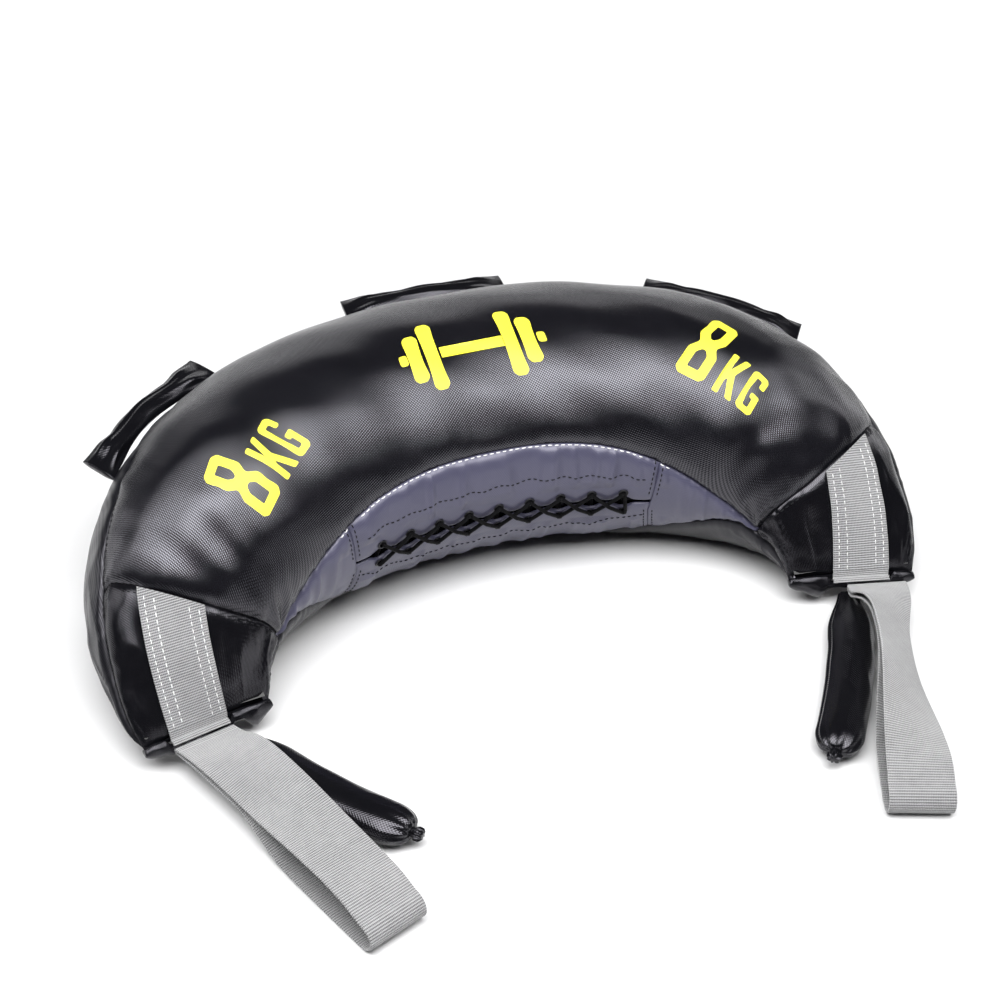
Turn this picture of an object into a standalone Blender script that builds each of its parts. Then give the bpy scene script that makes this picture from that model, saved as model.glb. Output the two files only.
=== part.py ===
"""A bulgarian training bag: a stuffed crescent with two grips, two strap loops and three back handles.

Units are metres, +Z is up. The bag lies on the floor with its opening towards -Y. The origin is on
the floor, under the middle of the bag's centre line.
"""

import math

import bmesh
import bpy
import numpy as np
from mathutils import Matrix, Vector

# The crescent's centre line is part of an ellipse, told by the angle from its middle.
ARC_HALF_WIDTH = 0.221
ARC_DEPTH = 0.1534
END_DEGREES = 99.9

# The cross-section is an oval that stands on the floor, widest in the middle and pinched at the ends.
BODY_WIDTH = 0.1808
BODY_HEIGHT = 0.1624
WIDEST_HEIGHT = 0.0754
END_WIDTH = 0.084
END_SEAM_HEIGHT = 0.0173
FLOOR_SQUASH = 0.008
NARROWING_POWER_SHARE = 2.0
CLOSING_POWER_SHARE = 4.0
CLOSING_ROUND_SHARE = 0.9

# Fabric, webbing and the clearance between pieces that touch.
COVER_THICKNESS = 0.0012
WEBBING_THICKNESS = 0.0016
WEBBING_WIDTH = 0.040
FIT_GAP = 0.0003
SEAM_GAP = 0.0005
FILL_GAP = 0.0005

# Seams, in degrees round the section: 0 is the outer side, 90 the top and 180 the inner side.
OUTER_SEAM_DEGREES = 44.0
OUTER_SEAM_TURN_DEGREES = 63.0
INNER_SEAM_MIDDLE_DEGREES = 157.5
INNER_SEAM_TIP_DEGREES = 184.5
LOWER_SEAM_MIDDLE_DEGREES = 232.0
LOWER_SEAM_TIP_DEGREES = 190.0
END_INNER_DEGREES = 178.0
END_CORNER_DEGREES = 182.0
LENS_POWER_SHARE = 1.4
TOP_DEGREES = 90.0

# The cross seams, in degrees along the centre line, bow towards the ends on the bag's top.
CROSS_SEAM_DEGREES = 79.2
CROSS_SEAM_BOW_DEGREES = 7.85
CROSS_SEAM_SPAN_DEGREES = 152.0
CROSS_SEAM_LEAN_SHARE = 1.2
CROSS_SEAM_ROUND_SHARE = 0.8

# The laced filling slit on the inner side.
LACE_PAIRS = 9
LACE_PITCH = 0.0212
LACE_DIAMETER = 0.0024
LACE_CLEARANCE = 0.0004
SLIT_DEGREES = 191.0
SLIT_OPENING = 0.007
SLIT_TO_HOLE = 0.006
FLAP_MARGIN = 0.008
CROSSING_SHARES = ((0.5,), (0.40, 0.56))
DIVE_SHARES = (0.62, 0.64)
TAIL_SHARE = 0.3
TONGUE_WIDTH = 0.046
TONGUE_THICKNESS = 0.0010
EYELET_BORE = 0.0040
EYELET_WALL = 0.0004
EYELET_FLANGE = 0.0011
EYELET_LIP = 0.0004

# The sewn webbing on the end panels, and the strap loops, whose two layers lean over the grip.
SEWN_STRAP_PLACE = 0.006
SEWN_STRAP_WIDTH_SHARE = 0.95
STRAP_ROOT_RADIUS = 0.0015
STRAP_LENGTH = {"left": 0.1837, "right": 0.194}
STRAP_ROOT_PLACE = {"left": 0.006, "right": 0.0165}
STRAP_TURN_DEGREES = {"left": 8.5, "right": 6.7}
STRAP_RISE = {"left": 0.0115, "right": 0.0145}
STRAP_TILT_DEGREES = {"left": 22.0, "right": 48.0}
STRAP_LAYER_STEP = 0.0052
STRAP_NOSE_HEIGHT = 0.018
STRAP_NOSE_LENGTH = 0.010
NEAR_PLACE_SHARES = (0.02, 0.06, 0.11, 0.17, 0.24, 0.32)
NEAR_RISE_SHARES = (0.06, 0.28, 0.60, 0.86, 0.98, 1.0)
NEAR_TILT_SHARES = (0.0, 0.08, 0.34, 0.68, 0.92, 1.0)
UPPER_PLACE_SHARES = (0.42, 0.52, 0.64, 0.76, 0.87)
UPPER_RISE_SHARES = (0.97, 0.92, 0.86, 0.76, 0.50)
UPPER_TILT_SHARES = {"left": (0.82, 0.46, 0.15, 0.0, 0.0), "right": (1.0, 0.90, 0.66, 0.36, 0.08)}
LOWER_PLACE_SHARES = (0.90, 0.74, 0.58, 0.49, 0.40)
LOWER_RISE_SHARES = {"left": (0.0, 0.02, 0.12, 0.40, 0.80), "right": (0.0, 0.16, 0.48, 0.72, 0.92)}
LOWER_TILT_SHARES = {"left": (0.0, 0.0, 0.10, 0.42, 0.80), "right": (0.0, 0.20, 0.64, 0.88, 1.0)}

# The rolled edge that closes each end, which the grip and the strap loop are sewn to.
END_ROLL_DIAMETER = 0.005
ROLL_FLATTENING_SHARE = 0.8

# The padded grips, which lie flattened on the floor under their own weight.
GRIP_WIDTH = 0.031
GRIP_HEIGHT = 0.020
GRIP_LENGTH = {"left": 0.140, "right": 0.154}
GRIP_NECK_WIDTH = 0.014
GRIP_NECK_HEIGHT = 0.0066
GRIP_ROOT_DIAMETER = 0.007
GRIP_SHOULDER = 0.042
GRIP_ROOT_PLACE = {"left": 0.0115, "right": 0.002}
GRIP_ROOT_DROP = 0.0062
GRIP_START_DEGREES = {"left": 14.0, "right": 9.0}
GRIP_BEND_DEGREES = {"left": 17.0, "right": 16.0}
GRIP_TIP_SHARE = 0.62
GRIP_MOUTH_DIAMETER = 0.009
GRIP_TIP_TAPER = 0.016
GRIP_TUFT_LENGTH = 0.007
GRIP_FLOOR_CLEARANCE = 0.0005
GRIP_SHOULDER_POWER_SHARE = 1.7
GRIP_DOME_DEGREES = (15.0, 40.0, 65.0, 90.0)
GRIP_TIP_PLACE_SHARES = (0.7, 0.4, 0.15)
TUFT_PLACE_SHARES = (0.0, 0.0, 0.0, 0.6, 1.0)
TUFT_WIDTH_SHARES = (1.0, 1.0, 1.35, 1.2, 0.7)

# The back handles, sewn on by their two ends below the outer seam.
HANDLE_PLACES_DEGREES = {"left": -46.0, "middle": 1.5, "right": 46.0}
HANDLE_LENGTH = 0.117
HANDLE_WIDTH = 0.0155
HANDLE_THICKNESS = 0.0125
HANDLE_END_HEIGHT = 0.027
HANDLE_END_THICKNESS = 0.0045
HANDLE_FLARE_LENGTH = 0.020
FINGER_GAP = 0.0078
HANDLE_SINK = {"left": 0.0010, "middle": 0.0004, "right": 0.0010}
HANDLE_BELOW_SEAM_DEGREES = 13.5
HANDLE_LEAN_DEGREES = 6.0
HANDLE_FLARE_SHARES = (0.0, 0.4, 1.0)

# The filling: a padding sleeve, sand pouches in its bore and a wad in each end.
SAND_POUCHES = 5
CORE_SHARE = 0.56
CORE_REACH_SHARE = 0.84
POUCH_GAP = 0.0012
WAD_GAP = 0.0028
POUCH_END_SHARES = (0.82, 1.0, 1.0, 1.0, 1.0, 0.82)
TONGUE_REACH_SHARE = 2.6
TONGUE_EDGE_SHARE = 3.0

# How finely the surfaces are divided.
SIDE_COLUMNS = 5
END_COLUMN_SHARES = (0.0, 0.24, 0.48, 0.70, 0.87, 0.96, 1.0)
TOP_ROWS = 8
INNER_ROWS = 4
FLAP_ROWS = 2
TONGUE_ROWS = 4
UNDERSIDE_ROWS = 11
GRIP_SIDES = 14
HANDLE_SIDES = 12
EYELET_SIDES = 10
ROLL_SIDES = 10
SEWN_STRAP_ROWS = 8
SEWN_STRAP_COLUMNS = 4
STRAP_COLUMNS = 3
NOSE_STEPS = 8
BEAD_STEPS = 4
LINE_STEPS = 400
SOLVING_ROUNDS = 12

# How far seams are mitred, and how deep the cutters of the lacing holes reach, in cover thicknesses.
MITRE_SHARE = 1.5
MOST_MITRE_SHARE = 6.5
CUTTER_DEPTH_SHARE = 6.0

# Working values that follow from the sizes above.
END_ANGLE = math.radians(END_DEGREES)
LIP_HEIGHT = 2 * COVER_THICKNESS + END_ROLL_DIAMETER * ROLL_FLATTENING_SHARE
HALF_GAP = SEAM_GAP / 2
MOST_MITRE = COVER_THICKNESS * MOST_MITRE_SHARE
CUTTER_DEPTH = COVER_THICKNESS * CUTTER_DEPTH_SHARE
LACE_RADIUS = LACE_DIAMETER / 2
HOLE_RADIUS = EYELET_BORE / 2 + EYELET_WALL + FIT_GAP
LACE_OUTSIDE = FIT_GAP + EYELET_LIP + LACE_CLEARANCE + LACE_RADIUS
LACE_INSIDE = COVER_THICKNESS + LACE_OUTSIDE
TONGUE_DEPTH = LACE_INSIDE + LACE_RADIUS + LACE_CLEARANCE
SIDES = {"left": -1, "right": 1}
STEP = 1e-4

COVER_COLOUR = (0.012, 0.012, 0.014)
LINER_COLOUR = (0.10, 0.10, 0.14)
WEBBING_COLOUR = (0.38, 0.38, 0.38)
CORD_COLOUR = (0.008, 0.008, 0.008)
METAL_COLOUR = (0.20, 0.20, 0.21)
SAND_COLOUR = (0.45, 0.36, 0.24)
WADDING_COLOUR = (0.55, 0.53, 0.50)


def clear_scene():
    """Empties the start-up scene."""
    for item in list(bpy.data.objects):
        bpy.data.objects.remove(item, do_unlink=True)


def new_collection(name):
    """Returns a collection of this name, linked to the scene."""
    made = bpy.data.collections.new(name)
    bpy.context.scene.collection.children.link(made)
    return made


def make_material(name, colour, roughness, metallic=0.0):
    """Returns a Principled material with one colour."""
    made = bpy.data.materials.new(name)
    made.use_nodes = True
    shader = made.node_tree.nodes["Principled BSDF"]
    shader.inputs["Base Color"].default_value = (*colour, 1.0)
    shader.inputs["Roughness"].default_value = roughness
    shader.inputs["Metallic"].default_value = metallic
    made.diffuse_color = (*colour, 1.0)
    return made


clear_scene()
PARTS = new_collection("bulgarian_bag")
CUTTERS = new_collection("cutters")


# The crescent as a surface


def centre_point(phi):
    """The centre line's point at an angle, with its outward and forward directions in plan."""
    sine, cosine = np.sin(phi), np.cos(phi)
    point = np.stack([ARC_HALF_WIDTH * sine, ARC_DEPTH * (cosine - 1), 0 * phi], axis=-1)
    outward = np.stack([ARC_DEPTH * sine, ARC_HALF_WIDTH * cosine, 0 * phi], axis=-1)
    outward = outward / np.linalg.norm(outward, axis=-1, keepdims=True)
    forward = np.stack([outward[..., 1], -outward[..., 0], 0 * phi], axis=-1)
    return point, outward, forward


def closing(phi):
    """1 in the middle of the bag, falling to 0 where the ends are sewn shut."""
    share = np.clip(np.abs(phi) / END_ANGLE, 0, 1)
    return np.maximum(1 - share**CLOSING_POWER_SHARE, 0) ** CLOSING_ROUND_SHARE


def half_width(phi):
    """Half the section's width, which narrows towards the ends."""
    share = np.abs(phi) / END_ANGLE
    return (BODY_WIDTH - (BODY_WIDTH - END_WIDTH) * share**NARROWING_POWER_SHARE) / 2


def surface(phi, theta):
    """A point of the cover's outer face. Below the floor it is flattened onto it."""
    phi, theta = np.broadcast_arrays(np.asarray(phi, float), np.asarray(theta, float))
    centre, outward, _ = centre_point(phi)
    open_share = closing(phi)
    middle = WIDEST_HEIGHT * open_share + END_SEAM_HEIGHT * (1 - open_share)
    sine = np.sin(theta)
    above = (BODY_HEIGHT - WIDEST_HEIGHT) * open_share * sine
    below = (WIDEST_HEIGHT + FLOOR_SQUASH) * open_share * sine
    height = np.where(sine >= 0, middle + above, np.maximum(middle + below, 0))
    point = centre + outward * (half_width(phi) * np.cos(theta))[..., None]
    point[..., 2] = height
    return point


def surface_normal(phi, theta):
    """The outward direction of the cover at a point."""
    along = surface(phi + STEP, theta) - surface(phi - STEP, theta)
    around = surface(phi, theta + STEP) - surface(phi, theta - STEP)
    found = np.cross(around, along)
    return found / np.maximum(np.linalg.norm(found, axis=-1, keepdims=True), STEP**4)


def raised(phi, theta, height):
    """A point at a height over the cover's outer face, or under it where the height is negative."""
    phi, theta = np.broadcast_arrays(np.asarray(phi, float), np.asarray(theta, float))
    return surface(phi, theta) + surface_normal(phi, theta) * np.asarray(height)[..., None]


def lip_angle():
    """Where the section has become as low as the sewn lip is thick."""
    share = LIP_HEIGHT / (BODY_HEIGHT + FLOOR_SQUASH)
    return END_ANGLE * (1 - share ** (1 / CLOSING_ROUND_SHARE)) ** (1 / CLOSING_POWER_SHARE)


LIP_ANGLE = lip_angle()


def cross_seam(theta):
    """The centre-line angle of the cross seam at a place round the section."""
    share = np.clip((np.degrees(theta) - OUTER_SEAM_DEGREES) / CROSS_SEAM_SPAN_DEGREES, 0, 1)
    bow = np.maximum(np.sin(math.pi * share**CROSS_SEAM_LEAN_SHARE), 0) ** CROSS_SEAM_ROUND_SHARE
    return np.radians(CROSS_SEAM_DEGREES + CROSS_SEAM_BOW_DEGREES * bow)


def lens_share(phi):
    """0 at the middle of the inner panel and 1 at its tips."""
    reach = np.clip(np.abs(phi) / cross_seam(np.radians(INNER_SEAM_TIP_DEGREES)), 0, 1)
    return ((1 - np.cos(math.pi * reach)) / 2) ** LENS_POWER_SHARE


def end_share(phi):
    """0 at the cross seam and 1 at the lip."""
    start = cross_seam(np.radians(LOWER_SEAM_TIP_DEGREES))
    return np.clip((np.abs(phi) - start) / (LIP_ANGLE - start), 0, 1)


def outer_seam(phi):
    """The seam between the top and the underside, which runs down to the end's outer corner."""
    turn = math.radians(OUTER_SEAM_TURN_DEGREES)
    fall = np.clip((np.abs(phi) - turn) / (LIP_ANGLE - turn), 0, 1) ** 2
    return np.radians(OUTER_SEAM_DEGREES * (1 - fall))


def inner_seam(phi):
    """The seam between the top and the grey inner panel."""
    rise = (INNER_SEAM_TIP_DEGREES - INNER_SEAM_MIDDLE_DEGREES) * lens_share(phi)
    fall = (INNER_SEAM_TIP_DEGREES - END_INNER_DEGREES) * end_share(phi)
    return np.radians(INNER_SEAM_MIDDLE_DEGREES + rise - fall)


def lower_seam(phi):
    """The seam between the grey inner panel and the underside."""
    fall = (LOWER_SEAM_MIDDLE_DEGREES - LOWER_SEAM_TIP_DEGREES) * lens_share(phi)
    end = (LOWER_SEAM_TIP_DEGREES - END_CORNER_DEGREES) * end_share(phi)
    return np.radians(LOWER_SEAM_MIDDLE_DEGREES - fall - end)


def outer_seam_from_below(phi):
    """The outer seam, reached by going on round the underside."""
    return outer_seam(phi) + 2 * math.pi


def slit_edge(side):
    """The lacing slit's upper edge for side -1, or its lower edge for side 1."""
    turn = SLIT_OPENING / 2 / (BODY_WIDTH / 2)
    return lambda phi: np.radians(SLIT_DEGREES) + side * turn + 0 * phi


def column_angle(column, theta):
    """A column's centre-line angle: 1 is the cross seam and 2 the lip, negative on the left."""
    size = np.abs(column)
    seam = cross_seam(theta)
    inside = np.minimum(size, 1) * seam
    beyond = np.maximum(size - 1, 0) * (LIP_ANGLE - seam)
    return np.sign(column) * (inside + beyond)


def chart(column, low, high, row):
    """The two angles of a panel's point, from its column and its row between two seams."""
    phi = column_angle(column, np.radians(TOP_DEGREES))
    for _ in range(SOLVING_ROUNDS):
        theta = low(phi) * (1 - row) + high(phi) * row
        phi = column_angle(column, theta)
    return phi, theta


# Mesh helpers


def add_object(name, mesh, material):
    """Puts a mesh in the scene under a part's name."""
    made = bpy.data.objects.new(name, mesh)
    PARTS.objects.link(made)
    mesh.materials.clear()
    mesh.materials.append(material)
    return made


def mesh_from(name, points, faces):
    """A mesh of points and faces."""
    mesh = bpy.data.meshes.new(name)
    mesh.from_pydata([tuple(point) for point in points], [], faces)
    mesh.update()
    return mesh


def grid_faces(rows, columns, wrap_rows=False, wrap_columns=False):
    """The four-sided faces of a grid of points, with either direction closed on itself."""
    faces = []
    for i in range(rows if wrap_rows else rows - 1):
        for j in range(columns if wrap_columns else columns - 1):
            after, beside = (i + 1) % rows, (j + 1) % columns
            faces.append(
                (i * columns + j, i * columns + beside, after * columns + beside, after * columns + j)
            )
    return faces


def face_outwards(mesh):
    """Turns a closed mesh's faces outwards, and merges points that lie together."""
    shape = bmesh.new()
    shape.from_mesh(mesh)
    bmesh.ops.remove_doubles(shape, verts=shape.verts, dist=STEP / 100)
    bmesh.ops.recalc_face_normals(shape, faces=shape.faces)
    shape.to_mesh(mesh)
    shape.free()


def smooth(item, degrees=40.0):
    """Shades an object smooth, apart from its sharp edges."""
    item.data.shade_smooth()
    item.data.set_sharp_from_angle(angle=math.radians(degrees))
    return item


def pull_in(points, normals, thickness):
    """Moves the four edges of a grid inwards, so that the walls of two sewn panels don't meet."""
    moved = points.copy()
    across = np.swapaxes(moved, 0, 1), np.swapaxes(normals, 0, 1)
    edges = ((0, 1, moved, normals), (-1, -2, moved, normals), (0, 1, *across), (-1, -2, *across))
    for edge, inside, grid, facing in edges:
        way = grid[inside] - grid[edge]
        way = way / np.linalg.norm(way, axis=-1, keepdims=True)
        dip = np.clip(-(way * facing[edge]).sum(axis=-1), 0, 1 - STEP)
        mitre = np.minimum(MITRE_SHARE * thickness * dip / np.sqrt(1 - dip**2), MOST_MITRE)
        grid[edge] += way * (HALF_GAP + mitre)[:, None]
    return moved


def sheet(name, points, outward, thickness, material):
    """A fabric piece: an open grid of points with a Solidify modifier that grows it inwards."""
    points = pull_in(points, outward, thickness)
    rows, columns = points.shape[:2]
    faces = grid_faces(rows, columns)
    corner = points[0, 0], points[0, 1], points[1, 0]
    facing = np.cross(corner[1] - corner[0], corner[2] - corner[0]) @ outward[0, 0]
    if facing < 0:
        faces = [face[::-1] for face in faces]
    item = add_object(name, mesh_from(name, points.reshape(-1, 3), faces), material)
    wall = item.modifiers.new("wall", "SOLIDIFY")
    wall.thickness = thickness
    wall.offset = -1
    wall.use_even_offset = True
    return smooth(item)


def panel_grid(columns, low, high, rows):
    """The angles of a panel's grid, over a list of columns and of rows from seam to seam."""
    column, row = np.meshgrid(np.asarray(columns, float), np.asarray(rows, float), indexing="ij")
    return chart(column, low, high, row)


def panel(name, grids, material):
    """A cover panel from one or more grids of angles, side by side."""
    phi, theta = (np.hstack(list(angles)) for angles in zip(*grids))
    sheet(name, surface(phi, theta), surface_normal(phi, theta), COVER_THICKNESS, material)
    return bpy.data.objects[name]


def solid_rings(name, rings, material):
    """A closed solid through a stack of rings, with a flat end on the first and the last."""
    count, sides = rings.shape[:2]
    faces = grid_faces(count, sides, wrap_columns=True)
    faces.append(tuple(range(sides)))
    faces.append(tuple(range((count - 1) * sides, count * sides)))
    mesh = mesh_from(name, rings.reshape(-1, 3), faces)
    face_outwards(mesh)
    return smooth(add_object(name, mesh, material))


def hang_from(item, place):
    """Moves an object's origin to the joint that it turns on, and leaves its shape where it is."""
    item.data.transform(Matrix.Translation(-Vector(place.tolist())))
    item.matrix_world = Matrix.Translation(Vector(place.tolist()))


def sleeve_rings(name, rings, material):
    """A closed tube with a wall: its rings run out along the outside and back along the inside."""
    count, sides = rings.shape[:2]
    faces = grid_faces(count, sides, wrap_rows=True, wrap_columns=True)
    mesh = mesh_from(name, rings.reshape(-1, 3), faces)
    face_outwards(mesh)
    return smooth(add_object(name, mesh, material))


# The cover


def lace_angles():
    """The centre-line angles of the lacing holes, a pitch apart along the inner side."""
    spread = np.linspace(0, LIP_ANGLE, 2 * LINE_STEPS)
    line = surface(spread, np.full_like(spread, math.radians(SLIT_DEGREES)))
    run = np.concatenate([[0], np.cumsum(np.linalg.norm(np.diff(line, axis=0), axis=1))])
    places = LACE_PITCH * (np.arange(LACE_PAIRS) - (LACE_PAIRS - 1) / 2)
    return np.sign(places) * np.interp(np.abs(places), run, spread), run, spread


LACE_ANGLES, SLIT_RUN, SLIT_SPREAD = lace_angles()


def flap_columns():
    """The columns of the laced flaps: their two ends, and the lines midway between the holes."""
    reach = LACE_PITCH * LACE_PAIRS / 2
    places = np.linspace(-reach, reach, LACE_PAIRS + 1)
    places = np.concatenate([[-reach - FLAP_MARGIN], places, [reach + FLAP_MARGIN]])
    angles = np.sign(places) * np.interp(np.abs(places), SLIT_RUN, SLIT_SPREAD)
    return angles / cross_seam(math.radians(SLIT_DEGREES))


FLAP_COLUMNS = flap_columns()
FLAP_END = FLAP_COLUMNS[-1]
SIDE_SHARES = np.linspace(FLAP_END, 1, SIDE_COLUMNS + 1)
RIGHT_END_COLUMNS = 1 + np.asarray(END_COLUMN_SHARES)
MIDDLE_COLUMNS = np.concatenate([-SIDE_SHARES[:0:-1], FLAP_COLUMNS, SIDE_SHARES[1:]])
ALL_COLUMNS = np.concatenate([-RIGHT_END_COLUMNS[:0:-1], MIDDLE_COLUMNS, RIGHT_END_COLUMNS[1:]])


def shares(rows):
    """Evenly spaced places from 0 to 1."""
    return np.linspace(0, 1, rows + 1)


def flat_rows(row):
    """Rows spread evenly across a section that is nearly flat, rather than round it."""
    return np.arccos(1 - 2 * row) / math.pi


def under_grid(columns):
    """The angles of the underside, whose rows are spread for the flat lip at the two ends."""
    column, row = np.meshgrid(columns, shares(UNDERSIDE_ROWS), indexing="ij")
    blend = np.clip(2 * (np.abs(column) - 1), 0, 1)
    return chart(column, lower_seam, outer_seam_from_below, row * (1 - blend) + flat_rows(row) * blend)


def end_panel_grid(sign):
    """The angles of an end panel: its rows meet the top panel's and spread out evenly at the lip."""
    top = panel_grid([sign], outer_seam, inner_seam, shares(TOP_ROWS))
    tip = panel_grid([sign], inner_seam, lower_seam, [1.0])
    first = [np.hstack(list(angles)) for angles in zip(top, tip)]
    low, high = outer_seam(first[0]), lower_seam(first[0])
    start = (first[1] - low) / (high - low)
    even = flat_rows(shares(TOP_ROWS + 1))[None, :]
    blend = np.minimum(2 * (RIGHT_END_COLUMNS[1:] - 1), 1)[:, None]
    row = start * (1 - blend) + even * blend
    column = RIGHT_END_COLUMNS[1:, None] * sign + 0 * row
    rest = chart(column, outer_seam, lower_seam, row)
    return [np.vstack(list(angles)) for angles in zip(first, rest)]


def build_cover(black, grey):
    """The sewn panels of the outer cover."""
    panel("top_panel", [panel_grid(MIDDLE_COLUMNS, outer_seam, inner_seam, shares(TOP_ROWS))], black)
    panel("bottom_panel", [under_grid(ALL_COLUMNS)], black)
    for side, sign in SIDES.items():
        panel(f"{side}_end_panel", [end_panel_grid(sign)], black)
        inner = panel_grid(SIDE_SHARES * sign, inner_seam, lower_seam, shares(INNER_ROWS))
        panel(f"{side}_inner_panel", [inner], grey)


# The laced slit


def hole_turn(row):
    """How far round the section the upper holes, row -1, or the lower holes, row 1, are from the slit."""
    return row * (SLIT_OPENING / 2 + SLIT_TO_HOLE) / (BODY_WIDTH / 2)


def flap_line(row):
    """A line beyond the holes, as far from them as the slit's edge is."""
    turn = (SLIT_OPENING / 2 + 2 * SLIT_TO_HOLE) / (BODY_WIDTH / 2)
    return lambda phi: np.radians(SLIT_DEGREES) + row * turn + 0 * phi


def hole_frame(index, row):
    """The matrix of a hole: it sits in the middle of its flap's face, with Z out of the cover."""
    corners = panel_grid(FLAP_COLUMNS[index + 1 : index + 3], slit_edge(row), flap_line(row), [0.0, 1.0])
    points = surface(*corners)
    normal = np.cross(points[1, 1] - points[0, 0], points[1, 0] - points[0, 1])
    normal *= np.sign(normal @ surface_normal(*corners)[0, 0])
    place = Vector(points.mean(axis=(0, 1)).tolist())
    return Matrix.Translation(place) @ Vector(normal.tolist()).to_track_quat("Z", "Y").to_matrix().to_4x4()


def build_flaps(grey):
    """The two laced flaps, with a punched hole for each eyelet, and the tongue behind them."""
    flaps = {"upper": (-1, inner_seam), "lower": (1, lower_seam)}
    for name, (row, seam) in flaps.items():
        near = panel_grid(FLAP_COLUMNS, slit_edge(row), flap_line(row), [0.0, 1.0])
        far = panel_grid(FLAP_COLUMNS, flap_line(row), seam, shares(FLAP_ROWS)[1:])
        flap = panel(f"{name}_lacing_flap", [near, far], grey)
        for index in range(LACE_PAIRS):
            bpy.ops.mesh.primitive_cylinder_add(
                vertices=EYELET_SIDES, radius=HOLE_RADIUS, depth=CUTTER_DEPTH
            )
            cutter = bpy.context.object
            cutter.name = f"{name}_hole_{index + 1}"
            cutter.matrix_world = hole_frame(index, row)
            keep_as_cutter(cutter)
            cut = flap.modifiers.new(f"hole_{index + 1}", "BOOLEAN")
            cut.operation = "DIFFERENCE"
            cut.object = cutter
    build_tongue(grey)


def keep_as_cutter(item):
    """Moves a helper to the cutters and keeps it out of the render."""
    for owner in list(item.users_collection):
        owner.objects.unlink(item)
    CUTTERS.objects.link(item)
    item.hide_render = True
    item.display_type = "WIRE"


def build_tongue(grey):
    """The tongue behind the slit, which keeps the filling in."""
    turn = TONGUE_WIDTH / BODY_WIDTH
    seams = [lambda phi: math.radians(SLIT_DEGREES) - turn + 0 * phi]
    seams += [lambda phi: math.radians(SLIT_DEGREES) + turn + 0 * phi]
    phi, theta = panel_grid(FLAP_COLUMNS, *seams, shares(TONGUE_ROWS))
    points = raised(phi, theta, np.full_like(phi, -TONGUE_DEPTH))
    sheet("lacing_tongue", points, surface_normal(phi, theta), TONGUE_THICKNESS, grey)


def eyelet_mesh(metal):
    """One eyelet: a barrel with a flange over each face of the flap, turned about its axis."""
    bore = EYELET_BORE / 2
    barrel = bore + EYELET_WALL
    brim = barrel + EYELET_FLANGE
    top, under = FIT_GAP + EYELET_LIP, -COVER_THICKNESS - FIT_GAP - EYELET_LIP
    profile = (
        (bore, top), (bore, under), (brim, under), (brim, under + EYELET_LIP),
        (barrel, under + EYELET_LIP), (barrel, top - EYELET_LIP), (brim, top - EYELET_LIP), (brim, top),
    )
    turns = np.linspace(0, 2 * math.pi, EYELET_SIDES, endpoint=False)
    rings = np.array([[(r * math.cos(a), r * math.sin(a), z) for a in turns] for r, z in profile])
    faces = grid_faces(len(profile), EYELET_SIDES, wrap_rows=True, wrap_columns=True)
    mesh = mesh_from("eyelet", rings.reshape(-1, 3), faces)
    face_outwards(mesh)
    mesh.materials.append(metal)
    return mesh


def build_eyelets(metal):
    """An eyelet in each hole."""
    mesh = eyelet_mesh(metal)
    for name, row in (("upper", -1), ("lower", 1)):
        for index in range(LACE_PAIRS):
            item = bpy.data.objects.new(f"{name}_eyelet_{index + 1}", mesh)
            PARTS.objects.link(item)
            item.matrix_world = hole_frame(index, row)


def lace_strand(row, over):
    """One strand of the lace: out at each hole, over the slit, in at its far edge and on to the next pair."""
    hole = abs(hole_turn(row))
    dive = (SLIT_OPENING / 2 - LACE_RADIUS - LACE_CLEARANCE) / (BODY_WIDTH / 2)
    lift = LACE_OUTSIDE + over * (LACE_DIAMETER + LACE_CLEARANCE)
    slit = math.radians(SLIT_DEGREES)
    route = []
    for index, phi in enumerate(LACE_ANGLES):
        frame = hole_frame(index, row)
        route += [frame @ Vector((0, 0, height)) for height in (-LACE_INSIDE, LACE_OUTSIDE)]
        step = LACE_PITCH / ARC_HALF_WIDTH * TAIL_SHARE
        if index < LACE_PAIRS - 1:
            gap = LACE_ANGLES[index + 1] - phi
            for share in CROSSING_SHARES[over]:
                route.append(raised(phi + gap * share, slit + row * hole * (1 - 2 * share), lift))
            step = gap * DIVE_SHARES[over]
        route.append(raised(phi + step, slit - row * dive, (LACE_OUTSIDE + lift) / 2))
        route.append(raised(phi + step, slit - row * dive, -LACE_INSIDE))
        row = -row
    return route


def build_lace(black):
    """The cord that closes the slit: one cord, whose two halves cross between the pairs of holes."""
    first, second = lace_strand(-1, 0), lace_strand(1, 1)
    bar = [raised(LACE_ANGLES[0], math.radians(SLIT_DEGREES), -LACE_INSIDE)]
    points = np.array([tuple(point) for point in first[::-1] + bar + second])
    curve = bpy.data.curves.new("lacing_cord", "CURVE")
    curve.dimensions = "3D"
    curve.bevel_depth = LACE_RADIUS
    curve.bevel_resolution = 1
    curve.use_fill_caps = True
    line = curve.splines.new("POLY")
    line.points.add(len(points) - 1)
    line.points.foreach_set("co", np.hstack([points, np.ones((len(points), 1))]).ravel())
    curve.materials.append(black)
    PARTS.objects.link(bpy.data.objects.new("lacing_cord", curve))
    length = np.linalg.norm(np.diff(points, axis=0), axis=1).sum()
    print("lacing cord length", round(float(length), 3))


# The ends: sewn webbing, rolled edge, strap loop and grip


def end_frame(sign):
    """The middle of the rolled edge, with the directions across, out of the end, and up."""
    centre, outward, forward = centre_point(np.array(sign * LIP_ANGLE))
    out = forward * sign
    reach = FIT_GAP + END_ROLL_DIAMETER / 2
    middle = centre + out * reach + np.array([0, 0, END_SEAM_HEIGHT])
    return middle, outward, out, np.array([0, 0, 1.0])


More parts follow.
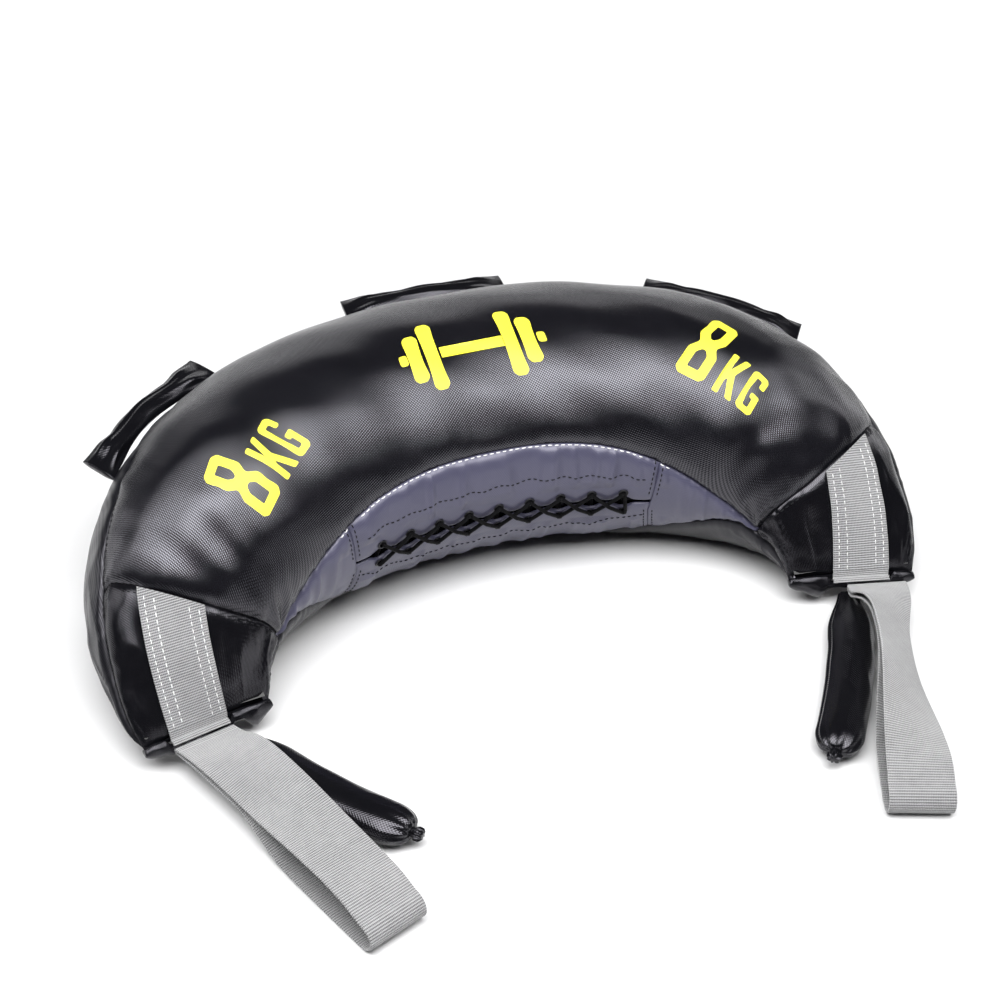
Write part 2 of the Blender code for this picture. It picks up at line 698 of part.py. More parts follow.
def build_sewn_strap(side, sign, webbing):
    """The webbing sewn flat on the end panel, from the cross seam to the lip."""
    across = (shares(SEWN_STRAP_COLUMNS) - 0.5) * WEBBING_WIDTH * SEWN_STRAP_WIDTH_SHARE + SEWN_STRAP_PLACE
    share, offset = np.meshgrid(shares(SEWN_STRAP_ROWS), across, indexing="ij")
    phi = np.full_like(share, LIP_ANGLE)
    for _ in range(SOLVING_ROUNDS):
        theta = np.arccos(offset / half_width(phi))
        start = cross_seam(theta)
        phi = start + (LIP_ANGLE - start) * share
    phi = phi * sign
    height = 2 * FIT_GAP + WEBBING_THICKNESS
    points = raised(phi, theta, np.full_like(phi, height))
    sheet(f"{side}_sewn_strap", points, surface_normal(phi, theta), WEBBING_THICKNESS, webbing)


def build_end_roll(side, sign, black):
    """The rolled edge that closes the end."""
    middle, across, _, _ = end_frame(sign)
    reach = END_WIDTH / 2 - END_ROLL_DIAMETER / 2
    bpy.ops.mesh.primitive_cylinder_add(
        vertices=ROLL_SIDES, radius=END_ROLL_DIAMETER / 2, depth=2 * reach
    )
    item = bpy.context.object
    item.name = f"{side}_end_roll"
    item.data.name = item.name
    turn = Vector(across.tolist()).to_track_quat("Z", "Y").to_matrix().to_4x4()
    item.matrix_world = Matrix.Translation(Vector(middle.tolist())) @ turn
    for owner in list(item.users_collection):
        owner.objects.unlink(item)
    PARTS.objects.link(item)
    item.data.materials.append(black)
    edge = item.modifiers.new("rounded_ends", "BEVEL")
    edge.width = END_ROLL_DIAMETER / 4
    edge.segments = 2
    edge.limit_method = "ANGLE"
    smooth(item)


def finer(table):
    """A table with the value midway between each two entries put in."""
    table = np.asarray(table, float)
    return np.interp(np.arange(2 * len(table) - 1) / 2, np.arange(len(table)), table)


def strap_profile(side):
    """The strap loop's closed middle line, seen from its side: how far out, how high, and its tilt."""
    length, rise, root = STRAP_LENGTH[side], STRAP_RISE[side], STRAP_ROOT_RADIUS
    floor = FIT_GAP + WEBBING_THICKNESS / 2 - END_SEAM_HEIGHT
    start = END_ROLL_DIAMETER / 2 + FIT_GAP + WEBBING_THICKNESS / 2 + root
    near, up, lean = finer(NEAR_PLACE_SHARES), finer(NEAR_RISE_SHARES), finer(NEAR_TILT_SHARES)
    over = root + up * (rise - root)
    under = over - 2 * root - up * (STRAP_LAYER_STEP - 2 * root)
    crest = under[-1]
    top = floor + STRAP_NOSE_HEIGHT
    far = top + finer(UPPER_RISE_SHARES) * (rise - top)
    low = floor + finer(LOWER_RISE_SHARES[side]) * (crest - floor)
    turns = math.pi * (0.5 - shares(NOSE_STEPS))
    half = (top - floor) / 2
    nose = (1 - STRAP_NOSE_LENGTH / length) + np.cos(turns) * STRAP_NOSE_LENGTH / length
    bead = -math.pi * (0.5 + shares(BEAD_STEPS))
    place = [near, finer(UPPER_PLACE_SHARES), nose, finer(LOWER_PLACE_SHARES), near[::-1]]
    place.append(root / length * np.cos(bead))
    height = [over, far, floor + half + half * np.sin(turns), low, under[::-1], root * np.sin(bead)]
    tilt = [lean, finer(UPPER_TILT_SHARES[side]), 0 * nose, finer(LOWER_TILT_SHARES[side]), lean[::-1], 0 * bead]
    return start + length * np.hstack(place), np.hstack(height), np.hstack(tilt)


def build_strap_loop(side, sign, webbing):
    """The webbing loop: a closed band, tilted where it leans over the grip."""
    middle, across, out, up = end_frame(sign)
    turn = math.radians(STRAP_TURN_DEGREES[side])
    ahead = out * math.cos(turn) - across * math.sin(turn)
    forward, height, tilt_share = strap_profile(side)
    swing = (turn * forward / forward.max())[:, None]
    beside = across * np.cos(swing) + out * np.sin(swing)
    spine = middle + across * STRAP_ROOT_PLACE[side] + forward[:, None] * ahead + height[:, None] * up
    tangent = np.roll(spine, -1, axis=0) - np.roll(spine, 1, axis=0)
    tilt = np.radians(STRAP_TILT_DEGREES[side] * tilt_share)[:, None]
    width_way = beside * np.cos(tilt) - up * np.sin(tilt)
    face_way = np.cross(width_way, tangent) * sign
    face_way /= np.linalg.norm(face_way, axis=1, keepdims=True)
    half, wall = WEBBING_WIDTH / 2, WEBBING_THICKNESS / 2
    across_shares = 2 * shares(STRAP_COLUMNS) - 1
    faces = [spine + width_way * a * half + face_way * wall for a in across_shares]
    faces += [spine + width_way * a * half - face_way * wall for a in across_shares[::-1]]
    loop = sleeve_rings(f"{side}_strap_loop", np.stack(faces, axis=1), webbing)
    hinge = middle + across * STRAP_ROOT_PLACE[side] + out * (forward.min() + STRAP_ROOT_RADIUS)
    hang_from(loop, hinge)
    print(side, "strap loop hinge at", np.round(hinge, 5), "along", np.round(across, 5))


def grip_path(side, sign):
    """The grip's centre line, which bends inwards along the floor. Returns places, points and directions."""
    middle, across, out, up = end_frame(sign)
    reach = END_ROLL_DIAMETER / 2 + FIT_GAP + GRIP_ROOT_DIAMETER / 2
    start = middle - across * GRIP_ROOT_PLACE[side] - up * GRIP_ROOT_DROP
    start = start + out * math.sqrt(reach**2 - GRIP_ROOT_DROP**2)
    length = GRIP_LENGTH[side]
    run = np.linspace(0, length, LINE_STEPS)
    turn = np.radians(GRIP_START_DEGREES[side] + GRIP_BEND_DEGREES[side] * run / length)[:, None]
    way = out * np.cos(turn) - across * np.sin(turn)
    steps = np.vstack([np.zeros(3), (way[1:] + way[:-1]) / 2 * (length / (LINE_STEPS - 1))])
    points = start + np.cumsum(steps, axis=0)
    lift = GRIP_HEIGHT / 2 + GRIP_FLOOR_CLEARANCE - start[2]
    ease = np.clip(run / GRIP_SHOULDER, 0, 1)
    points[:, 2] += lift * ease**2 * (3 - 2 * ease)
    return run, points, way


def grip_radii(run, length):
    """The grip's half width and half height: a sewn neck, a shoulder, a long body and a gathered tip."""
    ease = np.sin(np.clip(run / GRIP_SHOULDER, 0, 1) * math.pi / 2) ** GRIP_SHOULDER_POWER_SHARE
    left = np.clip((length - run) / GRIP_TIP_TAPER, 0, 1)
    round_tip = np.sqrt(np.clip(1 - (1 - left) ** 2, 0, 1))
    sizes = []
    for neck, full in ((GRIP_NECK_WIDTH / 2, GRIP_WIDTH / 2), (GRIP_NECK_HEIGHT / 2, GRIP_HEIGHT / 2)):
        swell = neck + (full - neck) * ease
        sizes.append(np.minimum(swell, full * (GRIP_TIP_SHARE + (1 - GRIP_TIP_SHARE) * round_tip)))
    return np.array(sizes)


def grip_rings(side, sign, places, radii):
    """Oval rings round the grip's centre line at places along it, from their half widths and heights."""
    run, points, way = grip_path(side, sign)
    rings = []
    turns = np.linspace(0, 2 * math.pi, GRIP_SIDES, endpoint=False)[:, None]
    for place, (wide, high) in zip(places, np.transpose(radii)):
        centre = np.array([np.interp(place, run, points[:, k]) for k in range(3)])
        ahead = np.array([np.interp(place, run, way[:, k]) for k in range(3)])
        centre = centre + ahead * (place - np.clip(place, 0, run[-1]))
        beside = np.cross(ahead, (0, 0, 1.0))
        upward = np.cross(beside, ahead)
        rings.append(centre + wide * np.cos(turns) * beside + high * np.sin(turns) * upward)
    return np.array(rings)


def build_grip(side, sign, black, wadding):
    """A grip: a sewn cover with its mouth at the tip, the padding in it and the gathered tip."""
    length, root, mouth = GRIP_LENGTH[side], GRIP_ROOT_DIAMETER / 2, GRIP_MOUTH_DIAMETER / 2
    dome = np.radians(GRIP_DOME_DEGREES)
    shoulder = shares(4)[1:] * GRIP_SHOULDER
    body = np.linspace(GRIP_SHOULDER, length - GRIP_TIP_TAPER, 5)[1:]
    tip = length - GRIP_TIP_TAPER * np.array(GRIP_TIP_PLACE_SHARES)
    places = np.concatenate([shoulder, body, tip])
    sizes = grip_radii(places, length)
    start = grip_rings(side, sign, -root * np.cos(dome), np.tile(root * np.sin(dome), (2, 1)))
    outer = grip_rings(side, sign, places, sizes)
    end = np.array([length, length, length - COVER_THICKNESS])
    end_sizes = np.hstack([grip_radii(end[:1], length), np.full((2, 2), mouth)])
    inner = grip_rings(side, sign, places, sizes - COVER_THICKNESS)[::-1]
    rings = np.concatenate([start, outer, grip_rings(side, sign, end, end_sizes), inner])
    cover = solid_rings(f"{side}_grip_cover", rings, black)
    fill = np.clip(places, places[0] + FILL_GAP * 2, places[-1] - FILL_GAP * 2)
    core = np.minimum(sizes, grip_radii(fill, length)) - COVER_THICKNESS - FILL_GAP
    padding = solid_rings(f"{side}_grip_padding", grip_rings(side, sign, fill, core), wadding)
    neck = mouth - FIT_GAP
    places = length + GRIP_TUFT_LENGTH * np.array(TUFT_PLACE_SHARES)
    places[:3] += (-COVER_THICKNESS, FIT_GAP, 2 * FIT_GAP)
    sizes = np.tile(neck * np.array(TUFT_WIDTH_SHARES), (2, 1))
    tuft = solid_rings(f"{side}_grip_tip", grip_rings(side, sign, places, sizes), black)
    hinge = grip_path(side, sign)[1][0]
    for item in (cover, padding, tuft):
        hang_from(item, hinge)
    print(side, "grip hinge at", np.round(hinge, 5))


# The back handles


def handle_line(place):
    """A handle's places along the cover, its straight base line there, and the way that it stands out."""
    spread = np.linspace(-LIP_ANGLE, LIP_ANGLE, 4 * LINE_STEPS)
    line = surface(spread, handle_seam(spread))
    run = np.concatenate([[0], np.cumsum(np.linalg.norm(np.diff(line, axis=0), axis=1))])
    middle = np.interp(math.radians(place), spread, run)
    flare = HANDLE_FLARE_LENGTH / HANDLE_LENGTH
    near = np.concatenate([flare * np.array(HANDLE_FLARE_SHARES), np.linspace(flare, 0.5, 4)[1:]])
    share = np.concatenate([near, 1 - near[-2::-1]])
    phi = np.interp(middle + (share - 0.5) * HANDLE_LENGTH, run, spread)
    _, outward, _ = centre_point(np.array(math.radians(place)))
    lean = math.radians(HANDLE_LEAN_DEGREES)
    return share, phi, outward * math.cos(lean) + np.array([0, 0, math.sin(lean)])


def handle_seam(phi):
    """The line round the section where the back handles are sewn on."""
    return outer_seam(phi) - math.radians(HANDLE_BELOW_SEAM_DEGREES)


def build_handle(side, place, black):
    """A back handle: a straight padded roll, pinched flat where its two ends are sewn to the cover."""
    share, phi, stand = handle_line(place)
    on_cover = surface(phi, handle_seam(phi))
    first, last = on_cover[0], on_cover[-1]
    base = first + (last - first) * share[:, None]
    bulge = ((on_cover - base) * stand).sum(axis=1)
    inwards = np.minimum(share, 1 - share)
    near = np.clip(inwards * HANDLE_LENGTH / HANDLE_FLARE_LENGTH, 0, 1)
    ease = near**2 * (3 - 2 * near)
    tall = (HANDLE_END_HEIGHT + (HANDLE_WIDTH - HANDLE_END_HEIGHT) * ease) / 2
    thick = (HANDLE_END_THICKNESS + (HANDLE_THICKNESS - HANDLE_END_THICKNESS) * ease) / 2
    sewn = FIT_GAP - HANDLE_SINK[side]
    gap = sewn + (FINGER_GAP - sewn) * np.sin(math.pi * inwards)
    centre = base + stand * (bulge + gap + tall)[:, None]
    beside = np.cross(last - first, stand)
    beside /= np.linalg.norm(beside)
    turns = np.linspace(0, 2 * math.pi, HANDLE_SIDES, endpoint=False)[None, :, None]
    rings = np.cos(turns) * tall[:, None, None] * stand + np.sin(turns) * thick[:, None, None] * beside
    handle = solid_rings(f"{side}_back_handle", centre[:, None] + rings, black)
    hang_from(handle, first)
    print(side, "back handle sewn from", np.round(first, 5), "to", np.round(last, 5))


# The filling


def fill_depth(column, theta):
    """How far under the cover's outer face the padding starts: deeper behind the lacing."""
    base = COVER_THICKNESS + FILL_GAP
    deep = TONGUE_DEPTH + TONGUE_THICKNESS + FILL_GAP
    near_along = np.clip(1 - (abs(column) - FLAP_END) / (SIDE_SHARES[1] - FLAP_END), 0, 1)
    turn = np.abs(theta - math.radians(SLIT_DEGREES))
    reach = TONGUE_WIDTH / BODY_WIDTH * TONGUE_REACH_SHARE
    near_round = np.clip(TONGUE_EDGE_SHARE * (1 - turn / reach), 0, 1)
    return base + (deep - base) * near_along * near_round


def fill_section(column):
    """A ring of the padding's outer face, which follows the rows of the panels over it."""
    grids = (
        panel_grid([column], outer_seam, inner_seam, shares(TOP_ROWS)[:-1]),
        panel_grid([column], inner_seam, lower_seam, shares(INNER_ROWS)[:-1]),
        panel_grid([column], lower_seam, outer_seam_from_below, shares(UNDERSIDE_ROWS)[:-1]),
    )
    phi, theta = (np.hstack(list(angles))[0] for angles in zip(*grids))
    return raised(phi, theta, -fill_depth(column, theta))


def core_section(column, share, gap=0.0):
    """A ring of the bore in the padding: the section drawn in towards its middle."""
    face = fill_section(column)
    middle = (face.max(axis=0) + face.min(axis=0)) / 2
    way = face - middle
    return middle + way * share - way / np.linalg.norm(way, axis=1, keepdims=True) * gap


def wad_section(phi, theta):
    """A ring of an end wad's face, which follows the rows of the end panel and the underside."""
    return raised(phi, theta, np.full_like(phi, -COVER_THICKNESS - WAD_GAP))


def build_wad(side, sign, wadding):
    """The wad that fills an end, shaped like the panels over it."""
    over = end_panel_grid(sign)
    under = under_grid(RIGHT_END_COLUMNS * sign)
    phi, theta = (np.hstack([a[:, :-1], b[:, :-1]])[:-3] for a, b in zip(over, under))
    phi[0] += sign * WAD_GAP / ARC_HALF_WIDTH
    rings = list(wad_section(phi, theta))
    middle = rings[0].mean(axis=0)
    rings.insert(0, middle + (rings[0] - middle) * CORE_SHARE)
    solid_rings(f"{side}_end_wad", np.array(rings), wadding)


def build_filling(wadding, sand):
    """The padding sleeve, the sand pouches in its bore and the wads in the two ends."""
    outside = [fill_section(column) for column in MIDDLE_COLUMNS]
    inside = [core_section(column, CORE_SHARE) for column in MIDDLE_COLUMNS[::-1]]
    sleeve_rings("padding_sleeve", np.array(outside + inside), wadding)
    edges = np.linspace(-CORE_REACH_SHARE, CORE_REACH_SHARE, SAND_POUCHES + 1)
    spacing = POUCH_GAP / ARC_HALF_WIDTH / 2
    for index in range(SAND_POUCHES):
        sizes = np.array(POUCH_END_SHARES) * CORE_SHARE
        places = np.linspace(edges[index] + spacing, edges[index + 1] - spacing, len(sizes))
        rings = [core_section(place, size, POUCH_GAP) for place, size in zip(places, sizes)]
        solid_rings(f"sand_pouch_{index + 1}", np.array(rings), sand)
    for side, sign in SIDES.items():
        build_wad(side, sign, wadding)


def main():
    """Builds the whole bag."""
    black = make_material("coated_fabric", COVER_COLOUR, 0.35)
    grey = make_material("grey_fabric", LINER_COLOUR, 0.5)
    webbing = make_material("webbing", WEBBING_COLOUR, 0.8)
    cord = make_material("lacing", CORD_COLOUR, 0.7)
    metal = make_material("eyelet_metal", METAL_COLOUR, 0.3, 1.0)
    sand = make_material("sand_pouch", SAND_COLOUR, 0.9)
    wadding = make_material("wadding", WADDING_COLOUR, 1.0)
    build_cover(black, grey)
    build_flaps(grey)
    build_eyelets(metal)
    build_lace(cord)
    build_filling(wadding, sand)
    for side, sign in SIDES.items():
        build_sewn_strap(side, sign, webbing)
        build_end_roll(side, sign, black)
        build_strap_loop(side, sign, webbing)
        build_grip(side, sign, black, wadding)
    for side, place in HANDLE_PLACES_DEGREES.items():
        build_handle(side, place, black)


main()
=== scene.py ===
# %% [markdown]
# # A bulgarian bag
# The real bag is a crescent of black coated cloth stuffed with sand and padding. It lies on a floor,
# so it is flat below and taut above. This lesson makes its looks round a fixed CAD model.
# The CAD says where everything is; here each piece of cloth, webbing and cord gets its own surface.

# %% The frame
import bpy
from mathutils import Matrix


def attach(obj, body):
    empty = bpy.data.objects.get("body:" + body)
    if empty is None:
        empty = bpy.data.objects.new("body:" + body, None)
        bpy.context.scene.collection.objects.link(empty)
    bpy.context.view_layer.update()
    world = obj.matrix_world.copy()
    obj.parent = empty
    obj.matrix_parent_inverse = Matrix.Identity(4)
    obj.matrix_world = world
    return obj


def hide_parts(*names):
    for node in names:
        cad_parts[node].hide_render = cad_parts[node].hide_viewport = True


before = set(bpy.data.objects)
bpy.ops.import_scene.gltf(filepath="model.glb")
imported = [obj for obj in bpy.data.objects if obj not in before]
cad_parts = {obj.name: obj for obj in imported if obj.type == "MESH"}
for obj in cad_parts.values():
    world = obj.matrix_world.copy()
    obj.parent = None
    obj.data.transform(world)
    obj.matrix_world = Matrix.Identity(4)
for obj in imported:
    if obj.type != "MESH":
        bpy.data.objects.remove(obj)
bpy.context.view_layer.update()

# %% More of what the lesson uses
import math
import bmesh
import bpy
import numpy as np
from mathutils import Matrix, Vector, geometry

# %% [markdown]
# ## The camera
# The picture was taken from above the bag's open side and a little to its left, with a long lens.
# A camera's matrix is made of its right, up and back directions. The small roll levels the horizon.

# %% The camera
def put_in_scene(name, data):
    """An object of a mesh, lamp or camera, in the scene's own collection."""
    item = bpy.data.objects.new(name, data)
    bpy.context.scene.collection.objects.link(item)
    return item


def aim_camera(azimuth, elevation, roll, distance, target, lens):
    """Makes the scene's camera: back = (sin a cos e, -cos a cos e, sin e), then rolled about it."""
    a, e, r = (math.radians(x) for x in (azimuth, elevation, roll))
    back = Vector((math.sin(a) * math.cos(e), -math.cos(a) * math.cos(e), math.sin(e)))
    right = Vector((math.cos(a), math.sin(a), 0))
    up = back.cross(right)
    columns = (right * math.cos(r) + up * math.sin(r), up * math.cos(r) - right * math.sin(r), back)
    data = bpy.data.cameras.new("camera")
    data.lens, data.sensor_width = lens, 36.0
    data.clip_start, data.clip_end = 0.05, 20.0
    item = put_in_scene("camera", data)
    turn = Matrix(columns).transposed().to_4x4()
    item.matrix_world = Matrix.Translation(Vector(target) + back * distance) @ turn
    bpy.context.scene.camera = item


aim_camera(-20.307, 37.786, 1.003, 1.441, (0.0339, -0.0002, 0), 72.9)

# %% [markdown]
# ## The crescent as a surface
# Two angles name every point of the cover: phi runs along the crescent, theta round its section,
# from 0 on the outer side over 90 on the top to 180 on the inner side. The panels, seams, straps
# and prints are all placed by these two angles, so that they fit each other without measuring.

# %% Sizes of the crescent
ARC_HALF_WIDTH, ARC_DEPTH = 0.221, 0.1534
BODY_WIDTH, END_WIDTH, BODY_HEIGHT, WIDEST_HEIGHT = 0.1808, 0.084, 0.1624, 0.0754
END_SEAM_HEIGHT, FLOOR_SQUASH, FLOOR_GAP = 0.0173, 0.008, 0.0003
NARROWING_POWER, CLOSING_POWER = 4, 0.9
COVER_WALL, ROLL_RADIUS, ROLL_FLATTENING, FIT_GAP = 0.0012, 0.0025, 0.8, 0.0003
WEBBING_HALF, WEBBING_WALL, SEWN_HALF, SEWN_PLACE = 0.020, 0.0008, 0.019, 0.006
END_ANGLE = math.radians(99.9)
SIDES = {"left": -1, "right": 1}
# The lip is where the closing section still holds two walls of cloth and the flattened roll.
LIP_HEIGHT = 2 * COVER_WALL + 2 * ROLL_RADIUS * ROLL_FLATTENING
LIP_SHARE = LIP_HEIGHT / (BODY_HEIGHT + FLOOR_SQUASH)
LIP_ANGLE = END_ANGLE * (1 - LIP_SHARE ** (1 / CLOSING_POWER)) ** (1 / NARROWING_POWER)
# Metres to the radian: about, along the cover, along its inner side and round its section.
ALONG, INNER_ALONG, ROUND = 0.19, 0.13, 0.085


# %% The centre line and the section
def centre_point(phi):
    """(a sin phi, b (cos phi - 1)), an ellipse, with its outward and its forward direction."""
    sine, cosine = np.sin(phi), np.cos(phi)
    point = np.stack([ARC_HALF_WIDTH * sine, ARC_DEPTH * (cosine - 1), 0 * phi], axis=-1)
    outward = np.stack([ARC_DEPTH * sine, ARC_HALF_WIDTH * cosine, 0 * phi], axis=-1)
    outward = outward / np.linalg.norm(outward, axis=-1, keepdims=True)
    forward = np.stack([outward[..., 1], -outward[..., 0], 0 * phi], axis=-1)
    return point, outward, forward


def half_width(phi):
    """Half the width falls with the square of the share of the way to the end."""
    share = np.abs(phi) / END_ANGLE
    return (BODY_WIDTH - (BODY_WIDTH - END_WIDTH) * share**2) / 2


def surface(phi, theta):
    """An oval section: half width times cos theta outwards, height times sin theta up, floor at 0."""
    phi, theta = np.broadcast_arrays(np.asarray(phi, float), np.asarray(theta, float))
    centre, outward, _ = centre_point(phi)
    share = np.clip(np.abs(phi) / END_ANGLE, 0, 1)
    fat = np.maximum(1 - share**NARROWING_POWER, 0) ** CLOSING_POWER
    middle = WIDEST_HEIGHT * fat + END_SEAM_HEIGHT * (1 - fat)
    sine = np.sin(theta)
    upper_half = middle + (BODY_HEIGHT - WIDEST_HEIGHT) * fat * sine
    below = np.maximum(middle + (WIDEST_HEIGHT + FLOOR_SQUASH) * fat * sine, 0)
    point = centre + outward * (half_width(phi) * np.cos(theta))[..., None]
    point[..., 2] = np.where(sine >= 0, upper_half, below)
    return point


def surface_normal(phi, theta, step=2e-3):
    """The cross product of the surface's two slopes, made one long."""
    along = surface(phi + step, theta) - surface(phi - step, theta)
    around = surface(phi, theta + step) - surface(phi, theta - step)
    found = np.cross(around, along)
    return found / np.maximum(np.linalg.norm(found, axis=-1, keepdims=True), 1e-12)


def above(points, height):
    """The points, none of them lower than height."""
    points[..., 2] = np.maximum(points[..., 2], height)
    return points


def raised(phi, theta, height):
    """A point of the surface moved along its normal by height, and never into the floor."""
    phi, theta = np.broadcast_arrays(np.asarray(phi, float), np.asarray(theta, float))
    point = surface(phi, theta) + surface_normal(phi, theta) * np.asarray(height)[..., None]
    return above(point, FLOOR_GAP)


# %% The seams, in degrees
CROSS_SEAM, CROSS_BOW, BOW_START, BOW_SPAN = 79.2, 7.85, 44, 152
OUTER_SEAM, OUTER_TURN, INNER_MIDDLE, INNER_TIP, LOWER_MIDDLE, LOWER_TIP = 44, 63, 157.5, 184.5, 232, 190


def cross_seam(theta):
    """CROSS_SEAM along the crescent, bowed by up to CROSS_BOW towards the end over the top."""
    share = np.clip((np.degrees(theta) - BOW_START) / BOW_SPAN, 0, 1)
    bow = np.maximum(np.sin(math.pi * share**1.2), 0) ** 0.8
    return np.radians(CROSS_SEAM + CROSS_BOW * bow)


def lens_share(phi):
    """0 in the middle of the grey panel and 1 at its tips, along a rounded slope."""
    reach = np.clip(np.abs(phi) / cross_seam(math.radians(INNER_TIP)), 0, 1)
    return ((1 - np.cos(math.pi * reach)) / 2) ** 1.4


def end_share(phi):
    """0 at the cross seam and 1 at the lip."""
    start = cross_seam(math.radians(LOWER_TIP))
    return np.clip((np.abs(phi) - start) / (LIP_ANGLE - start), 0, 1)


def outer_seam(phi):
    """OUTER_SEAM, then down to the end's outer corner with the square of the way from OUTER_TURN."""
    turn = math.radians(OUTER_TURN)
    return np.radians(OUTER_SEAM * (1 - np.clip((np.abs(phi) - turn) / (LIP_ANGLE - turn), 0, 1) ** 2))


def inner_seam(phi):
    """The grey panel's upper seam, from its middle to its tips and on to the lip."""
    return np.radians(INNER_MIDDLE + (INNER_TIP - INNER_MIDDLE) * lens_share(phi) - 6.5 * end_share(phi))


def lower_seam(phi):
    """The grey panel's lower seam, from its middle to its tips and on to the lip."""
    return np.radians(LOWER_MIDDLE - (LOWER_MIDDLE - LOWER_TIP) * lens_share(phi) - 8 * end_share(phi))


def outer_seam_from_below(phi):
    """The outer seam, reached by going on round the underside."""
    return outer_seam(phi) + 2 * math.pi


# %% From a panel's columns and rows to the two angles
def column_angle(column, theta):
    """Column 1 is the cross seam and column 2 the lip; between them phi runs evenly."""
    size, seam = np.abs(column), cross_seam(theta)
    return np.sign(column) * (np.minimum(size, 1) * seam + np.maximum(size - 1, 0) * (LIP_ANGLE - seam))


def chart(column, row, low, high):
    """Repeats theta = low(phi) (1 - row) + high(phi) row and phi = column_angle until they agree."""
    phi = column_angle(column, math.radians(90))
    for _ in range(12):
        theta = low(phi) * (1 - row) + high(phi) * row
        phi = column_angle(column, theta)
    return phi, theta


print("lip at", round(math.degrees(LIP_ANGLE), 2), "degrees; section", BODY_WIDTH, "x", BODY_HEIGHT)

# %% [markdown]
# ## Helpers for meshes
# A grid of points becomes a mesh with one array of faces. Each piece keeps its place in its mesh,
# so its object stays at the origin, as the CAD's pieces do. UV maps are in metres: a weave that is
# drawn on them has one size on every piece.

# %% Mesh helpers
def grid_quads(rows, columns, wrap_rows=False, wrap_columns=False):
    """Corner numbers of a grid's faces: (i, j), (i, j + 1), (i + 1, j + 1), (i + 1, j)."""
    i = np.arange(rows if wrap_rows else rows - 1)[:, None]
    j = np.arange(columns if wrap_columns else columns - 1)[None, :]
    after, beside = (i + 1) % rows * columns, (j + 1) % columns
    corners = np.broadcast_arrays(i * columns + j, i * columns + beside, after + beside, after + j)
    return np.stack(corners, axis=-1).reshape(-1, 4)


def turned_out(points, faces, outward):
    """Turns all faces, of three or four corners, round if they look, summed up, against outward."""
    a, b, c, d = (points[faces[:, k]] for k in (0, 1, 2, -1))
    area = np.cross(c - a, d - b)
    return faces if (area * outward[faces].mean(axis=1)).sum() > 0 else faces[:, ::-1]


def add_piece(name, points, faces, material, body, uv, outward, replaces=(), merge=False):
    """Makes a smooth mesh object of the arrays, and lets it ride on a CAD body."""
    points = np.asarray(points, float).reshape(-1, 3)
    faces = turned_out(points, faces, outward.reshape(-1, 3))
    mesh = bpy.data.meshes.new(name)
    mesh.from_pydata(points.tolist(), [], faces.tolist())
    if uv is not None:
        layer = mesh.uv_layers.new(name="cloth")
        layer.data.foreach_set("uv", np.asarray(uv, np.float32).reshape(-1, 2)[faces.ravel()].ravel())
    if merge:
        shape = bmesh.new()
        shape.from_mesh(mesh)
        bmesh.ops.remove_doubles(shape, verts=shape.verts, dist=1e-6)
        shape.to_mesh(mesh)
        shape.free()
    mesh.shade_smooth()
    mesh.materials.append(material)
    item = put_in_scene(name, mesh)
    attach(item, body)
    if replaces:
        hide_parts(*replaces)
    print(name, len(faces), "faces on", body)
    return item


def add_tube(name, shape, material, body, replaces):
    """A piece made of closed rings, whose ends are drawn together; shape is points, UV and outward."""
    points, uv, outward = shape
    faces = grid_quads(*points.shape[:2])
    return add_piece(name, points, faces, material, body, uv, outward, replaces, merge=True)


def run_along(points):
    """Distance along a line of points, from its first one."""
    steps = np.linalg.norm(np.diff(points, axis=0), axis=1)
    return np.concatenate([[0], np.cumsum(steps)])


def along_line(points, places):
    """Points of a line at distances along it, by straight interpolation."""
    run = run_along(points)
    return np.stack([np.interp(places, run, points[:, k]) for k in range(points.shape[1])], axis=1)


def catmull_rom(padded, count):
    """Between each two rows, 1/2 (2b + (c-a)t + (2a-5b+4c-d)t^2 + (3b-a-3c+d)t^3), at count places."""
    t = np.linspace(0, 1, count, endpoint=False)[:, None, None]
    a, b, c, d = (padded[k : len(padded) - 3 + k][None] for k in range(4))
    return 0.5 * (2 * b + (c - a) * t + (2 * a - 5 * b + 4 * c - d) * t**2 + (3 * b - a - 3 * c + d) * t**3)


# %% Folds
def ripple(a, b, long_a, long_b, seed, count=10):
    """A sum of sine waves in seeded directions, whose lengths spread round long_a and long_b."""
    dice = np.random.default_rng(seed)
    total = 0 * a
    for slant_a, slant_b, turn in dice.normal(size=(count, 3)):
        total = total + np.sin(2 * math.pi * (a * slant_a / long_a + b * slant_b / long_b + turn))
    return total * math.sqrt(2 / count) / 1.6


def crease(a, b, long_a, long_b, seed, sharp=3.0):
    """Narrow ridges where a ripple crosses zero: 1 over 1 plus the square of sharp times it."""
    return 1 / (1 + (sharp * ripple(a, b, long_a, long_b, seed)) ** 2)


def spokes(phi, theta, corner, count, reach, seed):
    """Folds that spread from a corner: the sine of count times the direction, fading with distance."""
    a, b = (np.abs(phi) - corner[0]) * ALONG, (theta - math.radians(corner[1])) * ROUND
    distance, turn = np.hypot(a, b), np.arctan2(b, a)
    wave = np.sin(count * turn + seed + 1.3 * np.sin(2 * turn + seed))
    return wave * np.exp(-distance / reach) * (1 - np.exp(-distance / 0.006))

# %% [markdown]
# ## Materials
# All cloth here is woven, so one node group makes the weave: two crossed sine waves over the cloth's
# own UV map, which is in metres. A second group makes soft stains and wear. The shader itself stays
# in each material, because gloss set inside a group can't be exported.

